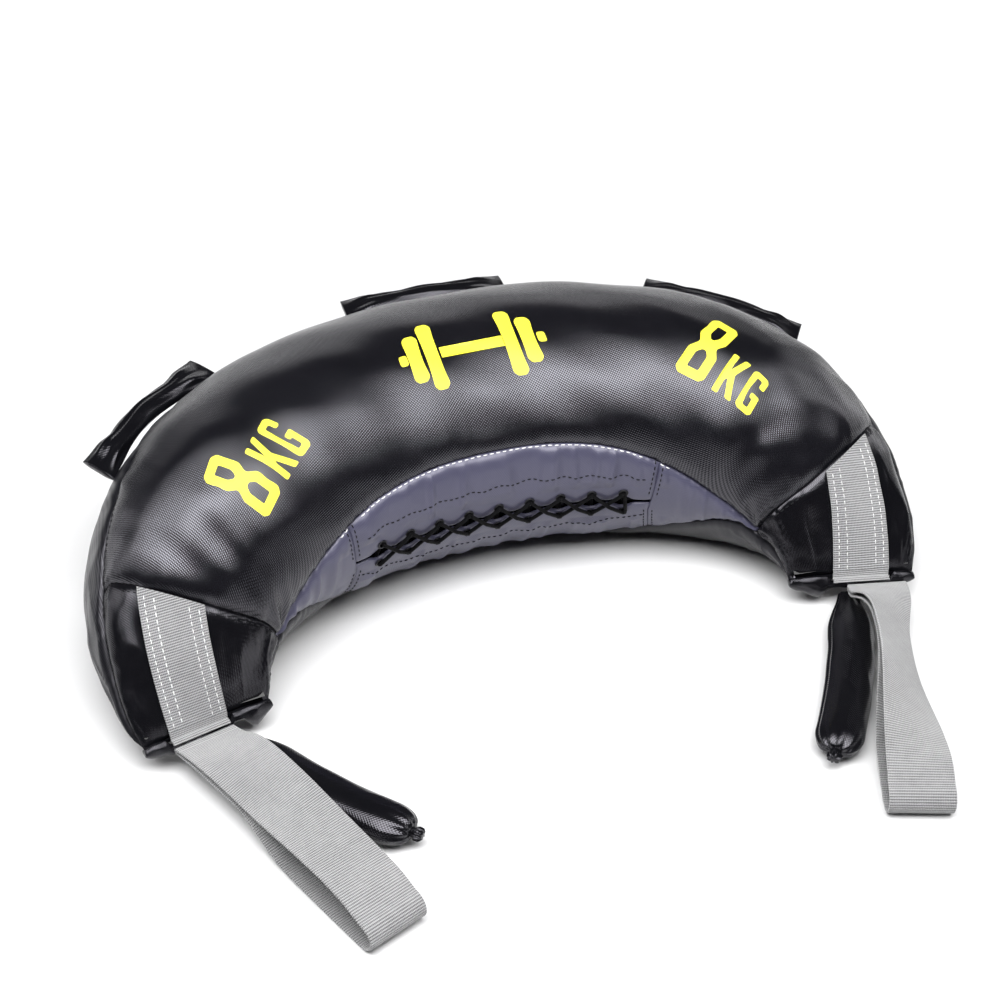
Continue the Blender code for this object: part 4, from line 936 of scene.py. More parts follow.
def build_filling():
    """The crescent's surface drawn in by 6 mm, with its two ends drawn together."""
    column, row = np.meshgrid(even(-FILLING_END, FILLING_END, 0.006, 0.2), shares(97), indexing="ij")
    phi, theta = chart(column, row, outer_seam, outer_seam_from_below)
    depth = FILLING_DEPTH + 0.0005 * ripple(phi * ALONG, theta * ROUND, 0.03, 0.03, 61)
    points = above(raised(phi, theta, depth), FILLING_FLOOR)
    caps = [points[k].mean(axis=0)[None, None].repeat(points.shape[1], 1) for k in (0, -1)]
    points = np.concatenate([caps[0], points, caps[1]])
    names = ["padding_sleeve", "left_end_wad", "right_end_wad"] + [f"sand_pouch_{k}" for k in range(1, 6)]
    outward = points - points.mean(axis=1, keepdims=True)
    item = add_tube("bag_filling", (points, None, outward), wadding, "bag", names)


build_filling()

# %% [markdown]
# ## Webbing
# Webbing is a flat band with rounded selvedges. The same section makes the sewn straps and the two
# loops. A loop needs its middle line and, at each place, the way across it and out of its face.

# %% Bands of webbing
def band_section(half, wall, steps):
    """(across, out) once round a flat band whose edges are half circles."""
    flat = np.linspace(-half + wall, half - wall, steps)
    turns = np.linspace(-math.pi / 2, math.pi / 2, 6)[1:-1]
    edges = half - wall + wall * np.cos(turns[::-1]), -half + wall - wall * np.cos(turns)
    across = np.concatenate([flat, edges[0], flat[::-1], edges[1], flat[:1]])
    level = 0 * flat + wall
    out = np.concatenate([level, wall * np.sin(turns[::-1]), -level, wall * np.sin(turns), [wall]])
    return across, out


def band(line, across_way, face_way, half, wall):
    """Places the section along a closed line. UV is the distance across and along, in metres."""
    across, out = band_section(half, wall, 22)
    across_way, face_way, line = across_way[:, None], face_way[:, None], line[:, None]
    points = line + across_way * across[None, :, None] + face_way * out[None, :, None]
    uv = np.stack(np.broadcast_arrays(across[None], run_along(line[:, 0])[:, None]), axis=-1)
    outward = points - line - across_way * (across * (1 - wall / half))[None, :, None]
    return points, uv, outward


def smooth_ring(table, count):
    """A closed Catmull-Rom curve through the rows of a table, sampled again at even distances."""
    lead = 4
    curve = catmull_rom(np.vstack([table[-lead:], table, table[:lead]]), 16)
    curve = curve[:, lead - 1 : lead - 1 + len(table)].transpose(1, 0, 2).reshape(-1, table.shape[1])
    curve = np.vstack([curve, curve[:1]])
    run = run_along(curve[:, :2])
    places = np.linspace(0, run[-1], count)
    return np.stack([np.interp(places, run, column) for column in curve.T], axis=1)


# %% Sewn straps
ROLL_TOP_DEGREES = 118, 50


def end_frame(sign):
    """The middle of the end's rolled edge, with the directions across, out of the end, and up."""
    centre, outward, forward = centre_point(np.array(sign * LIP_ANGLE))
    middle = centre + forward * sign * (FIT_GAP + ROLL_RADIUS) + np.array([0, 0, END_SEAM_HEIGHT])
    return middle, outward, forward * sign, np.array([0, 0, 1.0])


def strap_place(sign, share, offset):
    """Angles of a place on a sewn strap: share of the way from the cross seam to the lip, offset across."""
    phi = LIP_ANGLE + 0 * share
    for _ in range(12):
        theta = np.arccos(offset / half_width(phi))
        start = cross_seam(theta)
        phi = start + (LIP_ANGLE - start) * share
    return phi * sign, theta


def sewn_waves(phi, offset, sign):
    """The sewn strap's own small waves, which its threads follow."""
    return 0.0004 * ripple(phi * ALONG, offset, 0.03, 0.06, 71 + sign)


def build_sewn_strap(side, sign):
    """The band laid over the end panel and the rolled edge. Its ribs are counted from the end."""
    across, out = band_section(SEWN_HALF, WEBBING_WALL, 30)
    share, offset = np.meshgrid(np.append(0, np.linspace(0, 0.975, 90)), across + SEWN_PLACE, indexing="ij")
    phi, theta = strap_place(sign, share, offset)
    waves = sewn_waves(phi, offset, sign) * np.clip((1 - share) / 0.1, 0, 1)
    height = 2 * FIT_GAP + WEBBING_WALL + out[None] + waves
    height[0] = 2 * FIT_GAP + WEBBING_WALL
    points = raised(phi, theta, height)
    points[0] = points[0].mean(axis=0)
    middle, beside, ahead, up = end_frame(sign)
    turns = np.radians(np.append(np.linspace(*ROLL_TOP_DEGREES, 14), ROLL_TOP_DEGREES[1]))[:, None, None]
    on_roll = ROLL_RADIUS + FIT_GAP + WEBBING_WALL
    reach = np.broadcast_to(on_roll + out[None, :, None], (len(turns), len(out), 1)).copy()
    reach[-1] = on_roll
    round_roll = (ahead * np.cos(turns) + up * np.sin(turns)) * reach
    over = middle + beside * offset[: len(turns), :, None] + round_roll
    over[-1] = over[-1].mean(axis=0)
    points = np.concatenate([points, over])
    steps = np.linalg.norm(np.diff(points, axis=0, append=points[-1:]), axis=2)
    steps[[0, -2]] = 0
    uv = np.stack(np.broadcast_arrays(across[None], steps[::-1].cumsum(axis=0)[::-1]), axis=-1)
    lift = np.concatenate([surface_normal(phi, theta), np.broadcast_to(up, over.shape)])
    outward = lift * np.sign(out[None, :, None] + 1e-9)
    add_tube(f"{side}_sewn_webbing", (points, uv, outward), webbing, "bag", [f"{side}_sewn_strap"])


for side, sign in SIDES.items():
    build_sewn_strap(side, sign)


# %% Strap loops
STRAP_LENGTH, STRAP_ROOT_PLACE = {"left": 0.1837, "right": 0.194}, {"left": 0.006, "right": 0.0165}
STRAP_TURN, STRAP_RISE = {"left": 8.5, "right": 6.7}, {"left": 0.0115, "right": 0.0145}
STRAP_TILT, STRAP_ROOT, STRAP_LAYER_STEP = {"left": 22.0, "right": 48.0}, 0.0015, 0.0052
NOSE_HEIGHT, NOSE_LENGTH = 0.018, 0.010
NEAR_PLACE, NEAR_RISE = (0.02, 0.06, 0.11, 0.17, 0.24, 0.32), (0.06, 0.28, 0.60, 0.86, 0.98, 1.0)
NEAR_TILT = (0.0, 0.08, 0.34, 0.68, 0.92, 1.0)
UPPER_PLACE, UPPER_RISE = (0.42, 0.52, 0.64, 0.76, 0.87), (0.97, 0.92, 0.86, 0.76, 0.50)
UPPER_TILT = {"left": (0.82, 0.46, 0.15, 0.0, 0.0), "right": (1.0, 0.90, 0.66, 0.36, 0.08)}
LOWER_PLACE = (0.90, 0.74, 0.58, 0.49, 0.40)
LOWER_RISE = {"left": (0.0, 0.02, 0.12, 0.40, 0.80), "right": (0.0, 0.16, 0.48, 0.72, 0.92)}
LOWER_TILT = {"left": (0.0, 0.0, 0.10, 0.42, 0.80), "right": (0.0, 0.20, 0.64, 0.88, 1.0)}


def strap_profile(side):
    """Tables of how far out, how high and how tilted the loop's middle line is, all the way round."""
    length, rise, floor = STRAP_LENGTH[side], STRAP_RISE[side], FIT_GAP + WEBBING_WALL - END_SEAM_HEIGHT
    start = ROLL_RADIUS + FIT_GAP + WEBBING_WALL + STRAP_ROOT
    near, up, lean = (np.array(table) for table in (NEAR_PLACE, NEAR_RISE, NEAR_TILT))
    over = STRAP_ROOT + up * (rise - STRAP_ROOT)
    under = over - 2 * STRAP_ROOT - up * (STRAP_LAYER_STEP - 2 * STRAP_ROOT)
    top, crest = floor + NOSE_HEIGHT, under[-1]
    turns = math.pi * (0.5 - shares(9))
    nose = (1 - NOSE_LENGTH / length) + np.cos(turns) * NOSE_LENGTH / length
    bead = -math.pi * (0.5 + shares(5))[1:-1]
    place = [near, UPPER_PLACE, nose, LOWER_PLACE, near[::-1], STRAP_ROOT / length * np.cos(bead)]
    height = [over, top + np.array(UPPER_RISE) * (rise - top), floor + NOSE_HEIGHT / 2 * (1 + np.sin(turns)),
              floor + np.array(LOWER_RISE[side]) * (crest - floor), under[::-1], STRAP_ROOT * np.sin(bead)]
    tilt = [lean, UPPER_TILT[side], 0 * nose, LOWER_TILT[side], lean[::-1], 0 * bead]
    return np.stack([start + length * np.hstack(place), np.hstack(height), np.hstack(tilt)], axis=1)


def build_strap_loop(side, sign):
    """The closed band of the loop."""
    middle, across, out, up = end_frame(sign)
    turn = math.radians(STRAP_TURN[side])
    ahead = out * math.cos(turn) - across * math.sin(turn)
    forward, height, tilt = smooth_ring(strap_profile(side), 620).T
    swing = (turn * forward / forward.max())[:, None]
    beside = across * np.cos(swing) + out * np.sin(swing)
    line = middle + across * STRAP_ROOT_PLACE[side] + forward[:, None] * ahead + height[:, None] * up
    tangent = np.gradient(line, axis=0)
    tangent[[0, -1]] = line[1] - line[-2]
    lean = np.radians(STRAP_TILT[side] * tilt)[:, None]
    width_way = beside * np.cos(lean) - up * np.sin(lean)
    face_way = np.cross(width_way, tangent) * sign
    face_way /= np.linalg.norm(face_way, axis=1, keepdims=True)
    points, uv, outward = band(line, width_way, face_way, WEBBING_HALF, WEBBING_WALL)
    shape = above(points, FLOOR_GAP), uv, outward
    add_tube(f"{side}_webbing_loop", shape, webbing, f"{side}_loop", [f"{side}_strap_loop"])


for side, sign in SIDES.items():
    build_strap_loop(side, sign)

# %% [markdown]
# ## Grips, back handles and rolled edges
# These are stuffed tubes of the same glossy cloth. A tube is oval, and its cloth is pushed in and
# out by folds that run round it, by gathers at its ends and by the seam along its side.

# %% Ovals round a line
ROLL_FLOOR = 0.0004


def ring_folds(run, turn, radius, seed, along, across):
    """Folds that close round a tube: ripples over the distance along it and cos or sin of the turn."""
    a, b = 1.7 * radius * np.cos(turn), 1.7 * radius * np.sin(turn)
    soft = ripple(run, a, along, across, seed) + ripple(run, b, along, across, seed + 1)
    sharp = crease(run + b, a, along * 1.6, across * 1.5, seed + 2, 2.5)
    return 0.35 * soft + 0.55 * sharp


def bell(distance, width):
    """e to the minus square of the distance over the width."""
    return np.exp(-(distance / width) ** 2)


def add_roll(name, line, ways, wide, high, push, turns, body, replaces):
    """Rings with half widths and half heights along two ways, pushed out along each ring by push."""
    ways = [np.broadcast_to(way, line.shape)[:, None] for way in ways]
    cosine, sine = np.cos(turns)[None, :, None], np.sin(turns)[None, :, None]
    ring = ways[0] * cosine + ways[1] * sine
    oval = ways[0] * (wide[:, None, None] * cosine) + ways[1] * (high[:, None, None] * sine)
    points = line[:, None] + oval + ring * push[..., None]
    uv = np.stack(np.broadcast_arrays(turns[None] * 0.013, run_along(line)[:, None]), axis=-1)
    poles = [points[k].mean(axis=0)[None, None].repeat(points.shape[1], 1) for k in (0, -1)]
    points = above(np.concatenate([poles[0], points, poles[1]]), ROLL_FLOOR)
    shape = points, np.concatenate([uv[:1], uv, uv[-1:]]), np.concatenate([ring[:1], ring, ring[-1:]])
    return add_tube(name, shape, black_gloss, body, replaces)


# %% Grips
GRIP_LENGTH, GRIP_ROOT_PLACE = {"left": 0.140, "right": 0.154}, {"left": 0.0115, "right": 0.002}
GRIP_START, GRIP_BEND = {"left": 14.0, "right": 9.0}, {"left": 17.0, "right": 16.0}
GRIP_WIDE, GRIP_HIGH, NECK_WIDE, NECK_HIGH, GRIP_DROP = 0.0155, 0.010, 0.007, 0.0033, 0.0062
GRIP_SHOULDER, GRIP_TAPER, GRIP_ROOT, GRIP_SEAM = 0.042, 0.016, 0.0035, {"left": 340, "right": 20}
TUFT_PLACES = (-0.002, 0.0, 0.0025, 0.0055, 0.0068)
TUFT_SIZES = (0.0038, 0.0032, 0.0044, 0.0040, 0.0024)


def grip_path(side, sign, run):
    """The grip's middle line: it starts under the end's edge and bends inwards along the floor."""
    middle, across, out, up = end_frame(sign)
    reach = ROLL_RADIUS + FIT_GAP + GRIP_ROOT
    below = middle - across * GRIP_ROOT_PLACE[side] - up * GRIP_DROP
    start = below + out * math.sqrt(reach**2 - GRIP_DROP**2)
    turn = np.radians(GRIP_START[side] + GRIP_BEND[side] * run / GRIP_LENGTH[side])[:, None]
    way = out * np.cos(turn) - across * np.sin(turn)
    steps = np.vstack([np.zeros(3), (way[1:] + way[:-1]) / 2 * np.diff(run)[:, None]])
    line = start + np.cumsum(steps, axis=0)
    ease = np.clip(run / GRIP_SHOULDER, 0, 1)
    line[:, 2] += (GRIP_HIGH + 0.0005 - start[2]) * ease**2 * (3 - 2 * ease)
    return line, way


def build_grip(side, sign):
    """A sewn neck, a shoulder, a long body with a side seam, a gathered tip and its tuft."""
    length = GRIP_LENGTH[side]
    run = np.linspace(0, length, 190)
    line, way = grip_path(side, sign, run)
    ease = np.sin(np.clip(run / GRIP_SHOULDER, 0, 1) * math.pi / 2) ** 1.7
    left = np.clip((length - run) / GRIP_TAPER, 0, 1)
    dome = 0.30 + 0.70 * np.sqrt(np.clip(1 - (1 - left) ** 2, 0, 1))
    root = np.sqrt(np.clip(run / GRIP_ROOT, 0.01, 1))
    wide = np.minimum(NECK_WIDE + (GRIP_WIDE - NECK_WIDE) * ease, GRIP_WIDE * dome) * root
    high = np.minimum(NECK_HIGH + (GRIP_HIGH - NECK_HIGH) * ease, GRIP_HIGH * dome) * root
    turns = np.linspace(0, 2 * math.pi, 73)
    s, a = np.meshgrid(run, turns, indexing="ij")
    fat = np.minimum(ease, left)[:, None]
    push = -0.0006 + 0.0005 * fat * ring_folds(s, a, 0.014, 81 + 3 * sign, 0.060, 0.026)
    push += 0.0007 * np.sin(9 * a + 1.5 * np.sin(2 * a)) * np.exp(-s / 0.022) * np.clip(s / 0.006, 0, 1)
    push += 0.0007 * np.sin(11 * a + 2 * np.sin(a)) * np.exp(-(length - s) / 0.010)
    seam = np.abs(a - math.radians(GRIP_SEAM[side])) * 0.0135
    push += fat * (-0.0013 * bell(seam, 0.0011) + 0.0005 * bell(seam - 0.0028, 0.0014))
    beside = np.cross(way, (0, 0, 1.0))
    ways, body = (beside, np.cross(beside, way)), f"{side}_grip"
    names = [f"{side}_grip_cover", f"{side}_grip_padding"]
    item = add_roll(f"{side}_grip", line, ways, wide, high, push, turns, body, names)
    far = np.linspace(TUFT_PLACES[0], TUFT_PLACES[-1], 20)
    size = np.interp(far, TUFT_PLACES, TUFT_SIZES)
    s, a = np.meshgrid(far, turns, indexing="ij")
    push = 0.0008 * np.sin(7 * a + 2 * np.sin(a)) * np.clip(s / 0.003, 0, 1)
    line = line[-1] + way[-1] * far[:, None]
    add_roll(f"{side}_grip_tuft", line, [way[-1] for way in ways], size, 0.8 * size, push, turns, body,
             [f"{side}_grip_tip"])


for side, sign in SIDES.items():
    build_grip(side, sign)


# %% Back handles
HANDLE_PLACES = {"left": -46.0, "middle": 1.5, "right": 46.0}
HANDLE_SINK = {"left": 0.0010, "middle": 0.0004, "right": 0.0010}
HANDLE_LENGTH, HANDLE_THICK, HANDLE_END, HANDLE_FLARE = 0.117, 0.0125, 0.0045, 0.020
HANDLE_BELOW, HANDLE_RISE, HANDLE_GAP, HANDLE_TOP, HANDLE_TALL = 13.5, 6, 0.0058, 0.0275, 0.0175


def handle_seam(phi):
    """The back handles are sewn on some degrees below the outer seam."""
    return outer_seam(phi) - math.radians(HANDLE_BELOW)


def build_handle(side):
    """A straight padded roll that is pinched flat where its two ends are sewn to the cover."""
    spread = np.linspace(-LIP_ANGLE, LIP_ANGLE, 1600)
    run = run_along(surface(spread, handle_seam(spread)))
    centre, rise = math.radians(HANDLE_PLACES[side]), math.radians(HANDLE_RISE)
    share = shares(150)
    phi = np.interp(np.interp(centre, spread, run) + (share - 0.5) * HANDLE_LENGTH, run, spread)
    stand = centre_point(np.array(centre))[1] * math.cos(rise) + np.array([0, 0, math.sin(rise)])
    on_face = surface(phi, handle_seam(phi))
    chord = on_face[-1] - on_face[0]
    base = on_face[0] + chord * share[:, None]
    bulge = ((on_face - base) * stand).sum(axis=1)
    inwards = np.minimum(share, 1 - share)
    near = np.clip(inwards * HANDLE_LENGTH / HANDLE_FLARE, 0, 1)
    ease = near**2 * (3 - 2 * near)
    thick = (HANDLE_END + (HANDLE_THICK - HANDLE_END) * ease) / 2
    sewn = FIT_GAP - HANDLE_SINK[side]
    inner = bulge + sewn + (HANDLE_GAP - sewn) * np.sin(math.pi * inwards)
    tall = (np.maximum(HANDLE_TOP + sewn, inner + HANDLE_TALL) - inner) / 2
    beside = np.cross(chord, stand)
    turns = np.linspace(0, 2 * math.pi, 61)
    s, a = np.meshgrid(share * HANDLE_LENGTH, turns, indexing="ij")
    seed, soft = 101 + 7 * list(HANDLE_PLACES).index(side), ease[:, None]
    push = -0.0003 + (0.0008 * soft + 0.0002) * ring_folds(s, a, 0.008, seed, 0.080, 0.020)
    far = np.minimum(s, HANDLE_LENGTH - s)
    push += 0.0010 * np.sin(6 * a + 1.3) * bell(far - HANDLE_FLARE * 0.8, 0.010)
    push += soft * -0.0011 * bell((a - math.radians(70)) * 0.008, 0.0010)
    ways = stand, beside / np.linalg.norm(beside)
    line = base + stand * (inner + tall)[:, None]
    item = add_roll(f"{side}_handle_roll", line, ways, tall, thick, push, turns, f"{side}_handle",
                    [f"{side}_back_handle"])


for side in HANDLE_PLACES:
    build_handle(side)


# %% Rolled edges
EDGE_HALF, EDGE_CORNER, GRIP_ROOM, GRIP_EASE, FOLD_LENGTH = 0.0425, 0.009, 0.011, 0.009, 0.026


def build_edge(side, sign):
    """The end's rolled edge: a soft roll that hangs deeper beside the grip and ends in two corners."""
    middle, across, out, up = end_frame(sign)
    root = GRIP_ROOT_PLACE[side]
    place = np.linspace(-EDGE_HALF, EDGE_HALF, 150)
    inwards = np.clip((EDGE_HALF - np.abs(place)) / EDGE_CORNER, 0, 1)
    ends = 0.5 + 0.5 * np.sqrt(1 - (1 - inwards) ** 2)
    beside_strap = np.clip((np.abs(place - SEWN_PLACE) - 0.0195) / 0.003, 0, 1)
    beside_grip = np.clip((np.abs(place + root) - GRIP_ROOM) / GRIP_EASE, 0, 1)
    fold = np.clip((place + EDGE_HALF) / (FOLD_LENGTH - root), 0, 1)
    deep = beside_grip * np.where(place < -root, fold, 0.30 * inwards)
    high = (0.0024 + 0.0018 * beside_strap) * ends + 0.0054 * deep
    wide = 0.0026 + 0.0006 * beside_strap + 0.0010 * deep
    drop = 0.0006 + 0.0050 * deep - 0.0022 * beside_strap
    reach = 0.0010 * deep - 0.0012 * beside_strap - 0.0008
    line = middle + across * place[:, None] - up * drop[:, None] + out * reach[:, None]
    turns = np.linspace(0, 2 * math.pi, 49)
    s, a = np.meshgrid(place, turns, indexing="ij")
    push = -0.0003 + 0.0006 * ring_folds(s, a, 0.003, 131 + sign, 0.022, 0.007) * inwards[:, None]
    add_roll(f"{side}_rolled_edge", line, (out, up), wide, high, push, turns, "bag", [f"{side}_end_roll"])


for side, sign in SIDES.items():
    build_edge(side, sign)

# %% [markdown]
# ## Stitching
# A row of stitches is one mesh of short dashes. Each dash is a thin bent tube that dips into the
# cloth at both ends. Light thread shows along the grey panel's upper seam and on the webbing; all
# other rows are dark.

# %% Stitches
THREAD_RADIUS, LIGHT_PITCH, LIGHT_LENGTH = 0.00042, 0.0044, 0.0032
SEAM_GAP, LIGHT_GAP, FLAP_GAP = 0.0030, 0.0010, 0.0028
SEWN_ROWS, SEWN_LENGTH, SEWN_RADIUS = (-0.0152, -0.0097, 0.0097, 0.0152), 0.0035, 0.00032


def stitches(name, line, normal, pitch, length, radius, material):
    """Dashes along a line: dash k starts at k pitch; its height is the square root of a half sine."""
    run = run_along(line)
    starts = np.arange(pitch / 2, run[-1] - length, pitch)
    t = shares(5)
    places = starts[:, None] + t[None] * length
    spots, ups = (np.stack([np.interp(places, run, column) for column in table.T], axis=-1)
                  for table in (line, normal))
    way = np.gradient(spots, axis=1)
    way /= np.linalg.norm(way, axis=-1, keepdims=True)
    ups -= way * (ups * way).sum(axis=-1, keepdims=True)
    ups /= np.linalg.norm(ups, axis=-1, keepdims=True)
    side = np.cross(way, ups)
    arch = np.sqrt(np.sin(math.pi * t))[None, :, None]
    centre = spots + ups * (radius * (1.3 * arch - 0.9))
    turns = np.linspace(0, 2 * math.pi, 6, endpoint=False)
    size = (radius * (0.35 + 0.65 * arch))[..., None, :]
    ring = side[:, :, None] * np.cos(turns)[:, None] + ups[:, :, None] * np.sin(turns)[:, None]
    points = centre[:, :, None] + ring * size
    one = grid_quads(5, 6, False, True)
    caps = np.array([[0, 1, 2, 3], [0, 3, 4, 5], [24, 27, 26, 25], [24, 29, 28, 27]])
    flip = np.cross(points[0, 1, 0] - points[0, 0, 0], points[0, 0, 1] - points[0, 0, 0]) @ ring[0, 0, 0]
    one = np.concatenate([one, caps if flip > 0 else caps])
    quads = np.concatenate([one + k * 30 for k in range(len(starts))])
    add_piece(name, points, quads, material, "bag", None, ring)


def seam_stitches(name, panel, phi, theta, material=dark_thread, pitch=0.0040, length=0.0031):
    """Stitches on a panel of the cover, along a row of places."""
    normal = surface_normal(phi, theta)
    stitches(name, on_cover(panel, phi, theta), normal, pitch, length, THREAD_RADIUS, material)


for side, sign in SIDES.items():
    phi = sign * np.radians(np.linspace(61, 83, 300))
    seam_stitches(f"{side}_outer_seam_thread", "top", phi, outer_seam(phi) + SEAM_GAP / ROUND)
    theta = np.radians(np.linspace(50, 172, 500))
    phi = sign * (cross_seam(theta) + SEAM_GAP / ALONG)
    seam_stitches(f"{side}_cross_seam_thread", f"{side}_end", phi, theta)
    for part, low, high in (("upper_flap", 164, 187), ("lower_flap", 195, 220)):
        theta = np.radians(np.linspace(low, high, 200))
        edge, gap = FLAP_END * cross_seam(theta), FLAP_GAP / INNER_ALONG
        seam_stitches(f"{side}_{part}_end_thread", part, sign * (edge - gap), theta)
        seam_stitches(f"{side}_{part}_inner_thread", f"{side}_inner", sign * (edge + gap), theta)

reach = FLAP_END * cross_seam(SLIT) * 0.955
phi = np.linspace(-reach, reach, 900)
bow = (phi / reach) ** 2
pull = np.degrees(slit_edge(1)(phi) - SLIT) - 2.2
light, gap = (light_thread, LIGHT_PITCH, LIGHT_LENGTH), LIGHT_GAP / ROUND
seam_stitches("upper_lacing_thread", "upper_flap", phi, np.radians(173.5 + 3.0 * bow - 0.5 * pull))
seam_stitches("lower_lacing_thread", "lower_flap", phi, np.radians(206 - 5 * bow + 0.7 * pull))
seam_stitches("inner_seam_thread", "upper_flap", phi, inner_seam(phi) + gap, *light)
for side, sign in SIDES.items():
    phi = sign * np.linspace(reach * 1.08, 0.80, 100)
    seam_stitches(f"{side}_inner_seam_thread", f"{side}_inner", phi, inner_seam(phi) + gap, *light)

# %% [markdown]
# On the webbing the thread lies in four rows, two along each edge of the sewn strap.

# %% Stitches on the webbing
for side, sign in SIDES.items():
    for row, offset in enumerate(SEWN_ROWS):
        offset = SEWN_PLACE + offset + np.zeros(200)
        phi, theta = strap_place(sign, np.linspace(0.03, 0.97, 200), offset)
        line = raised(phi, theta, 2 * FIT_GAP + 2 * WEBBING_WALL + sewn_waves(phi, offset, sign))
        stitches(f"{side}_webbing_thread_{row + 1}", line, surface_normal(phi, theta), LIGHT_PITCH,
                 SEWN_LENGTH, SEWN_RADIUS, light_thread)

# %% [markdown]
# ## Print
# The weight stands on both shoulders in plain block figures, with a plain dumbbell sign between
# them. A figure is a flat outline, cut into small triangles and laid on the cover 0.2 mm above it.

# %% Outlines, in millimetres
def box(x0, y0, x1, y1, cut):
    """A rectangle with its four corners cut off."""
    return [(x0 + cut, y0), (x1 - cut, y0), (x1, y0 + cut), (x1, y1 - cut), (x1 - cut, y1), (x0 + cut, y1),
            (x0, y1 - cut), (x0, y0 + cut)]


def both_sides(x, half_x, half_y, cut):
    """Two such boxes, round x on the left and on the right."""
    return [box(sign * x - half_x, -half_y, sign * x + half_x, half_y, cut) for sign in (-1, 1)]


EIGHT = [[(3, 0), (18, 0), (21, 3), (21, 18.5), (17.2, 24), (17.2, 26), (20.5, 31), (20.5, 45.5),
          (17.5, 48.5), (3.5, 48.5), (.5, 45.5), (.5, 31), (3.8, 26), (3.8, 24), (0, 18.5), (0, 3)],
         [(6.3, 6), (14.7, 6), (14.7, 17), (12, 20.6), (9, 20.6), (6.3, 17)],
         [(6.8, 42.5), (14.2, 42.5), (14.2, 33.5), (11.7, 29.8), (9.3, 29.8), (6.8, 33.5)]]
LETTER_K = [[(28, 0), (32.2, 0), (32.2, 10), (33.4, 12.4), (38, 0), (42.4, 0), (36.6, 16.2), (41.6, 30),
             (37.2, 30), (32.2, 17.5), (32.2, 30), (28, 30)]]
LETTER_G = [[(47.5, 0), (56, 0), (58, 2), (58, 14.5), (51.6, 14.5), (51.6, 10.7), (53.9, 10.7), (53.9, 4),
             (49.6, 4), (49.6, 25.5), (53.9, 25.5), (53.9, 20.5), (58, 20.5), (58, 27.5), (56, 29.5),
             (47.5, 29.5), (45.5, 27.5), (45.5, 2)]]
PLATES = zip(both_sides(27, 5.2, 22, 2.4), both_sides(39, 5.2, 15.5, 2.4))
DUMBBELL = [box(-21.4, -3.4, 21.4, 3.4, 0.1), *(plate for pair in PLATES for plate in pair)]
DUMBBELL += both_sides(47.6, 2.8, 3.4, 1.0)


# %% Laying a print on the cover
ROUNDING, PRINT_LIFT, PRINT_RADIUS, MARK_LENGTH = 1.3, 0.0002, 0.0745, 0.059


def softened(outline):
    """Each corner becomes a short curve: corner + before (1 - t) squared + after t squared."""
    corners = np.array(outline, float)
    ways = []
    for beside in (np.roll(corners, 1, axis=0), np.roll(corners, -1, axis=0)):
        length = np.linalg.norm(beside - corners, axis=1, keepdims=True)
        ways.append((beside - corners) / length * np.minimum(ROUNDING, 0.38 * length))
    t = shares(5)[None, :, None]
    return (corners[:, None] + ways[0][:, None] * (1 - t) ** 2 + ways[1][:, None] * t**2).reshape(-1, 2)


def inside(points, outlines):
    """The even-odd rule: a point is inside if a ray from it crosses the outlines an odd number of times."""
    odd = np.zeros(len(points), bool)
    for outline in outlines:
        x0, y0 = outline.T[:, :, None]
        x1, y1 = np.roll(outline, -1, axis=0).T[:, :, None]
        x, y = points.T[:, None, :]
        level = np.where(y1 == y0, 1e-9, y1 - y0)
        odd ^= (((y0 > y) != (y1 > y)) & (x < x0 + (y - y0) * (x1 - x0) / level)).sum(axis=0) % 2 == 1
    return odd


def cut_into_triangles(outlines, spacing=1.5):
    """Delaunay triangles over the outlines and a grid of points, kept where they are inside."""
    outlines = [softened(outline) for outline in outlines]
    every = np.vstack(outlines)
    edges, start = [], 0
    for outline in outlines:
        ring = start + np.arange(len(outline))
        edges += np.stack([ring, np.roll(ring, -1)], axis=1).tolist()
        start += len(outline)
    low, high = every.min(axis=0), every.max(axis=0)
    x, y = np.meshgrid(np.arange(low[0], high[0], spacing), np.arange(low[1], high[1], spacing))
    grid = np.stack([x.ravel(), y.ravel()], axis=1) + 0.11
    grid = grid[inside(grid, outlines)]
    spots = [Vector(p) for p in np.vstack([every, grid]).tolist()]
    points, _, faces = geometry.delaunay_2d_cdt(spots, edges, [], 0, 1e-4)[:3]
    points = np.array([tuple(p) for p in points])
    faces = np.array([face for face in faces if len(face) == 3])
    return points, faces[inside(points[faces].mean(axis=1), outlines)]


def print_on_cover(name, outlines, to_angles):
    """Lays the triangles on the top panel; to_angles turns millimetres into the two angles."""
    points, faces = cut_into_triangles(outlines)
    phi, theta = to_angles(points[:, 0] / 1000, points[:, 1] / 1000)
    add_piece(name, on_cover("top", phi, theta, PRINT_LIFT), faces, ink, "bag",
              flat_pattern(phi, theta, 100), surface_normal(phi, theta))


def metre_along(phi, theta):
    """How many metres one unit of phi is at a place."""
    return np.linalg.norm(surface(phi + 1e-3, theta) - surface(phi - 1e-3, theta), axis=-1) / 2e-3


def weight_mark(start, base, slope, from_start):
    """Reads along phi from start, or ends there; the base line bends towards the bag's middle."""
    def to_angles(x, y):
        along = x if from_start else MARK_LENGTH - x
        theta = np.radians(base - slope * (along / MARK_LENGTH) ** 1.6) - y / PRINT_RADIUS
        phi = start + 0 * x
        for _ in range(4):
            reach = metre_along((start + phi) / 2, theta)
            phi = start + (along if from_start else -along) / reach
        return phi, theta
    return to_angles


def centre_mark(x, y):
    """A mark across the middle of the top, its x along the crescent."""
    theta = np.radians(110) - y / PRINT_RADIUS
    return 0.005 + x / metre_along(0 * x, theta), theta


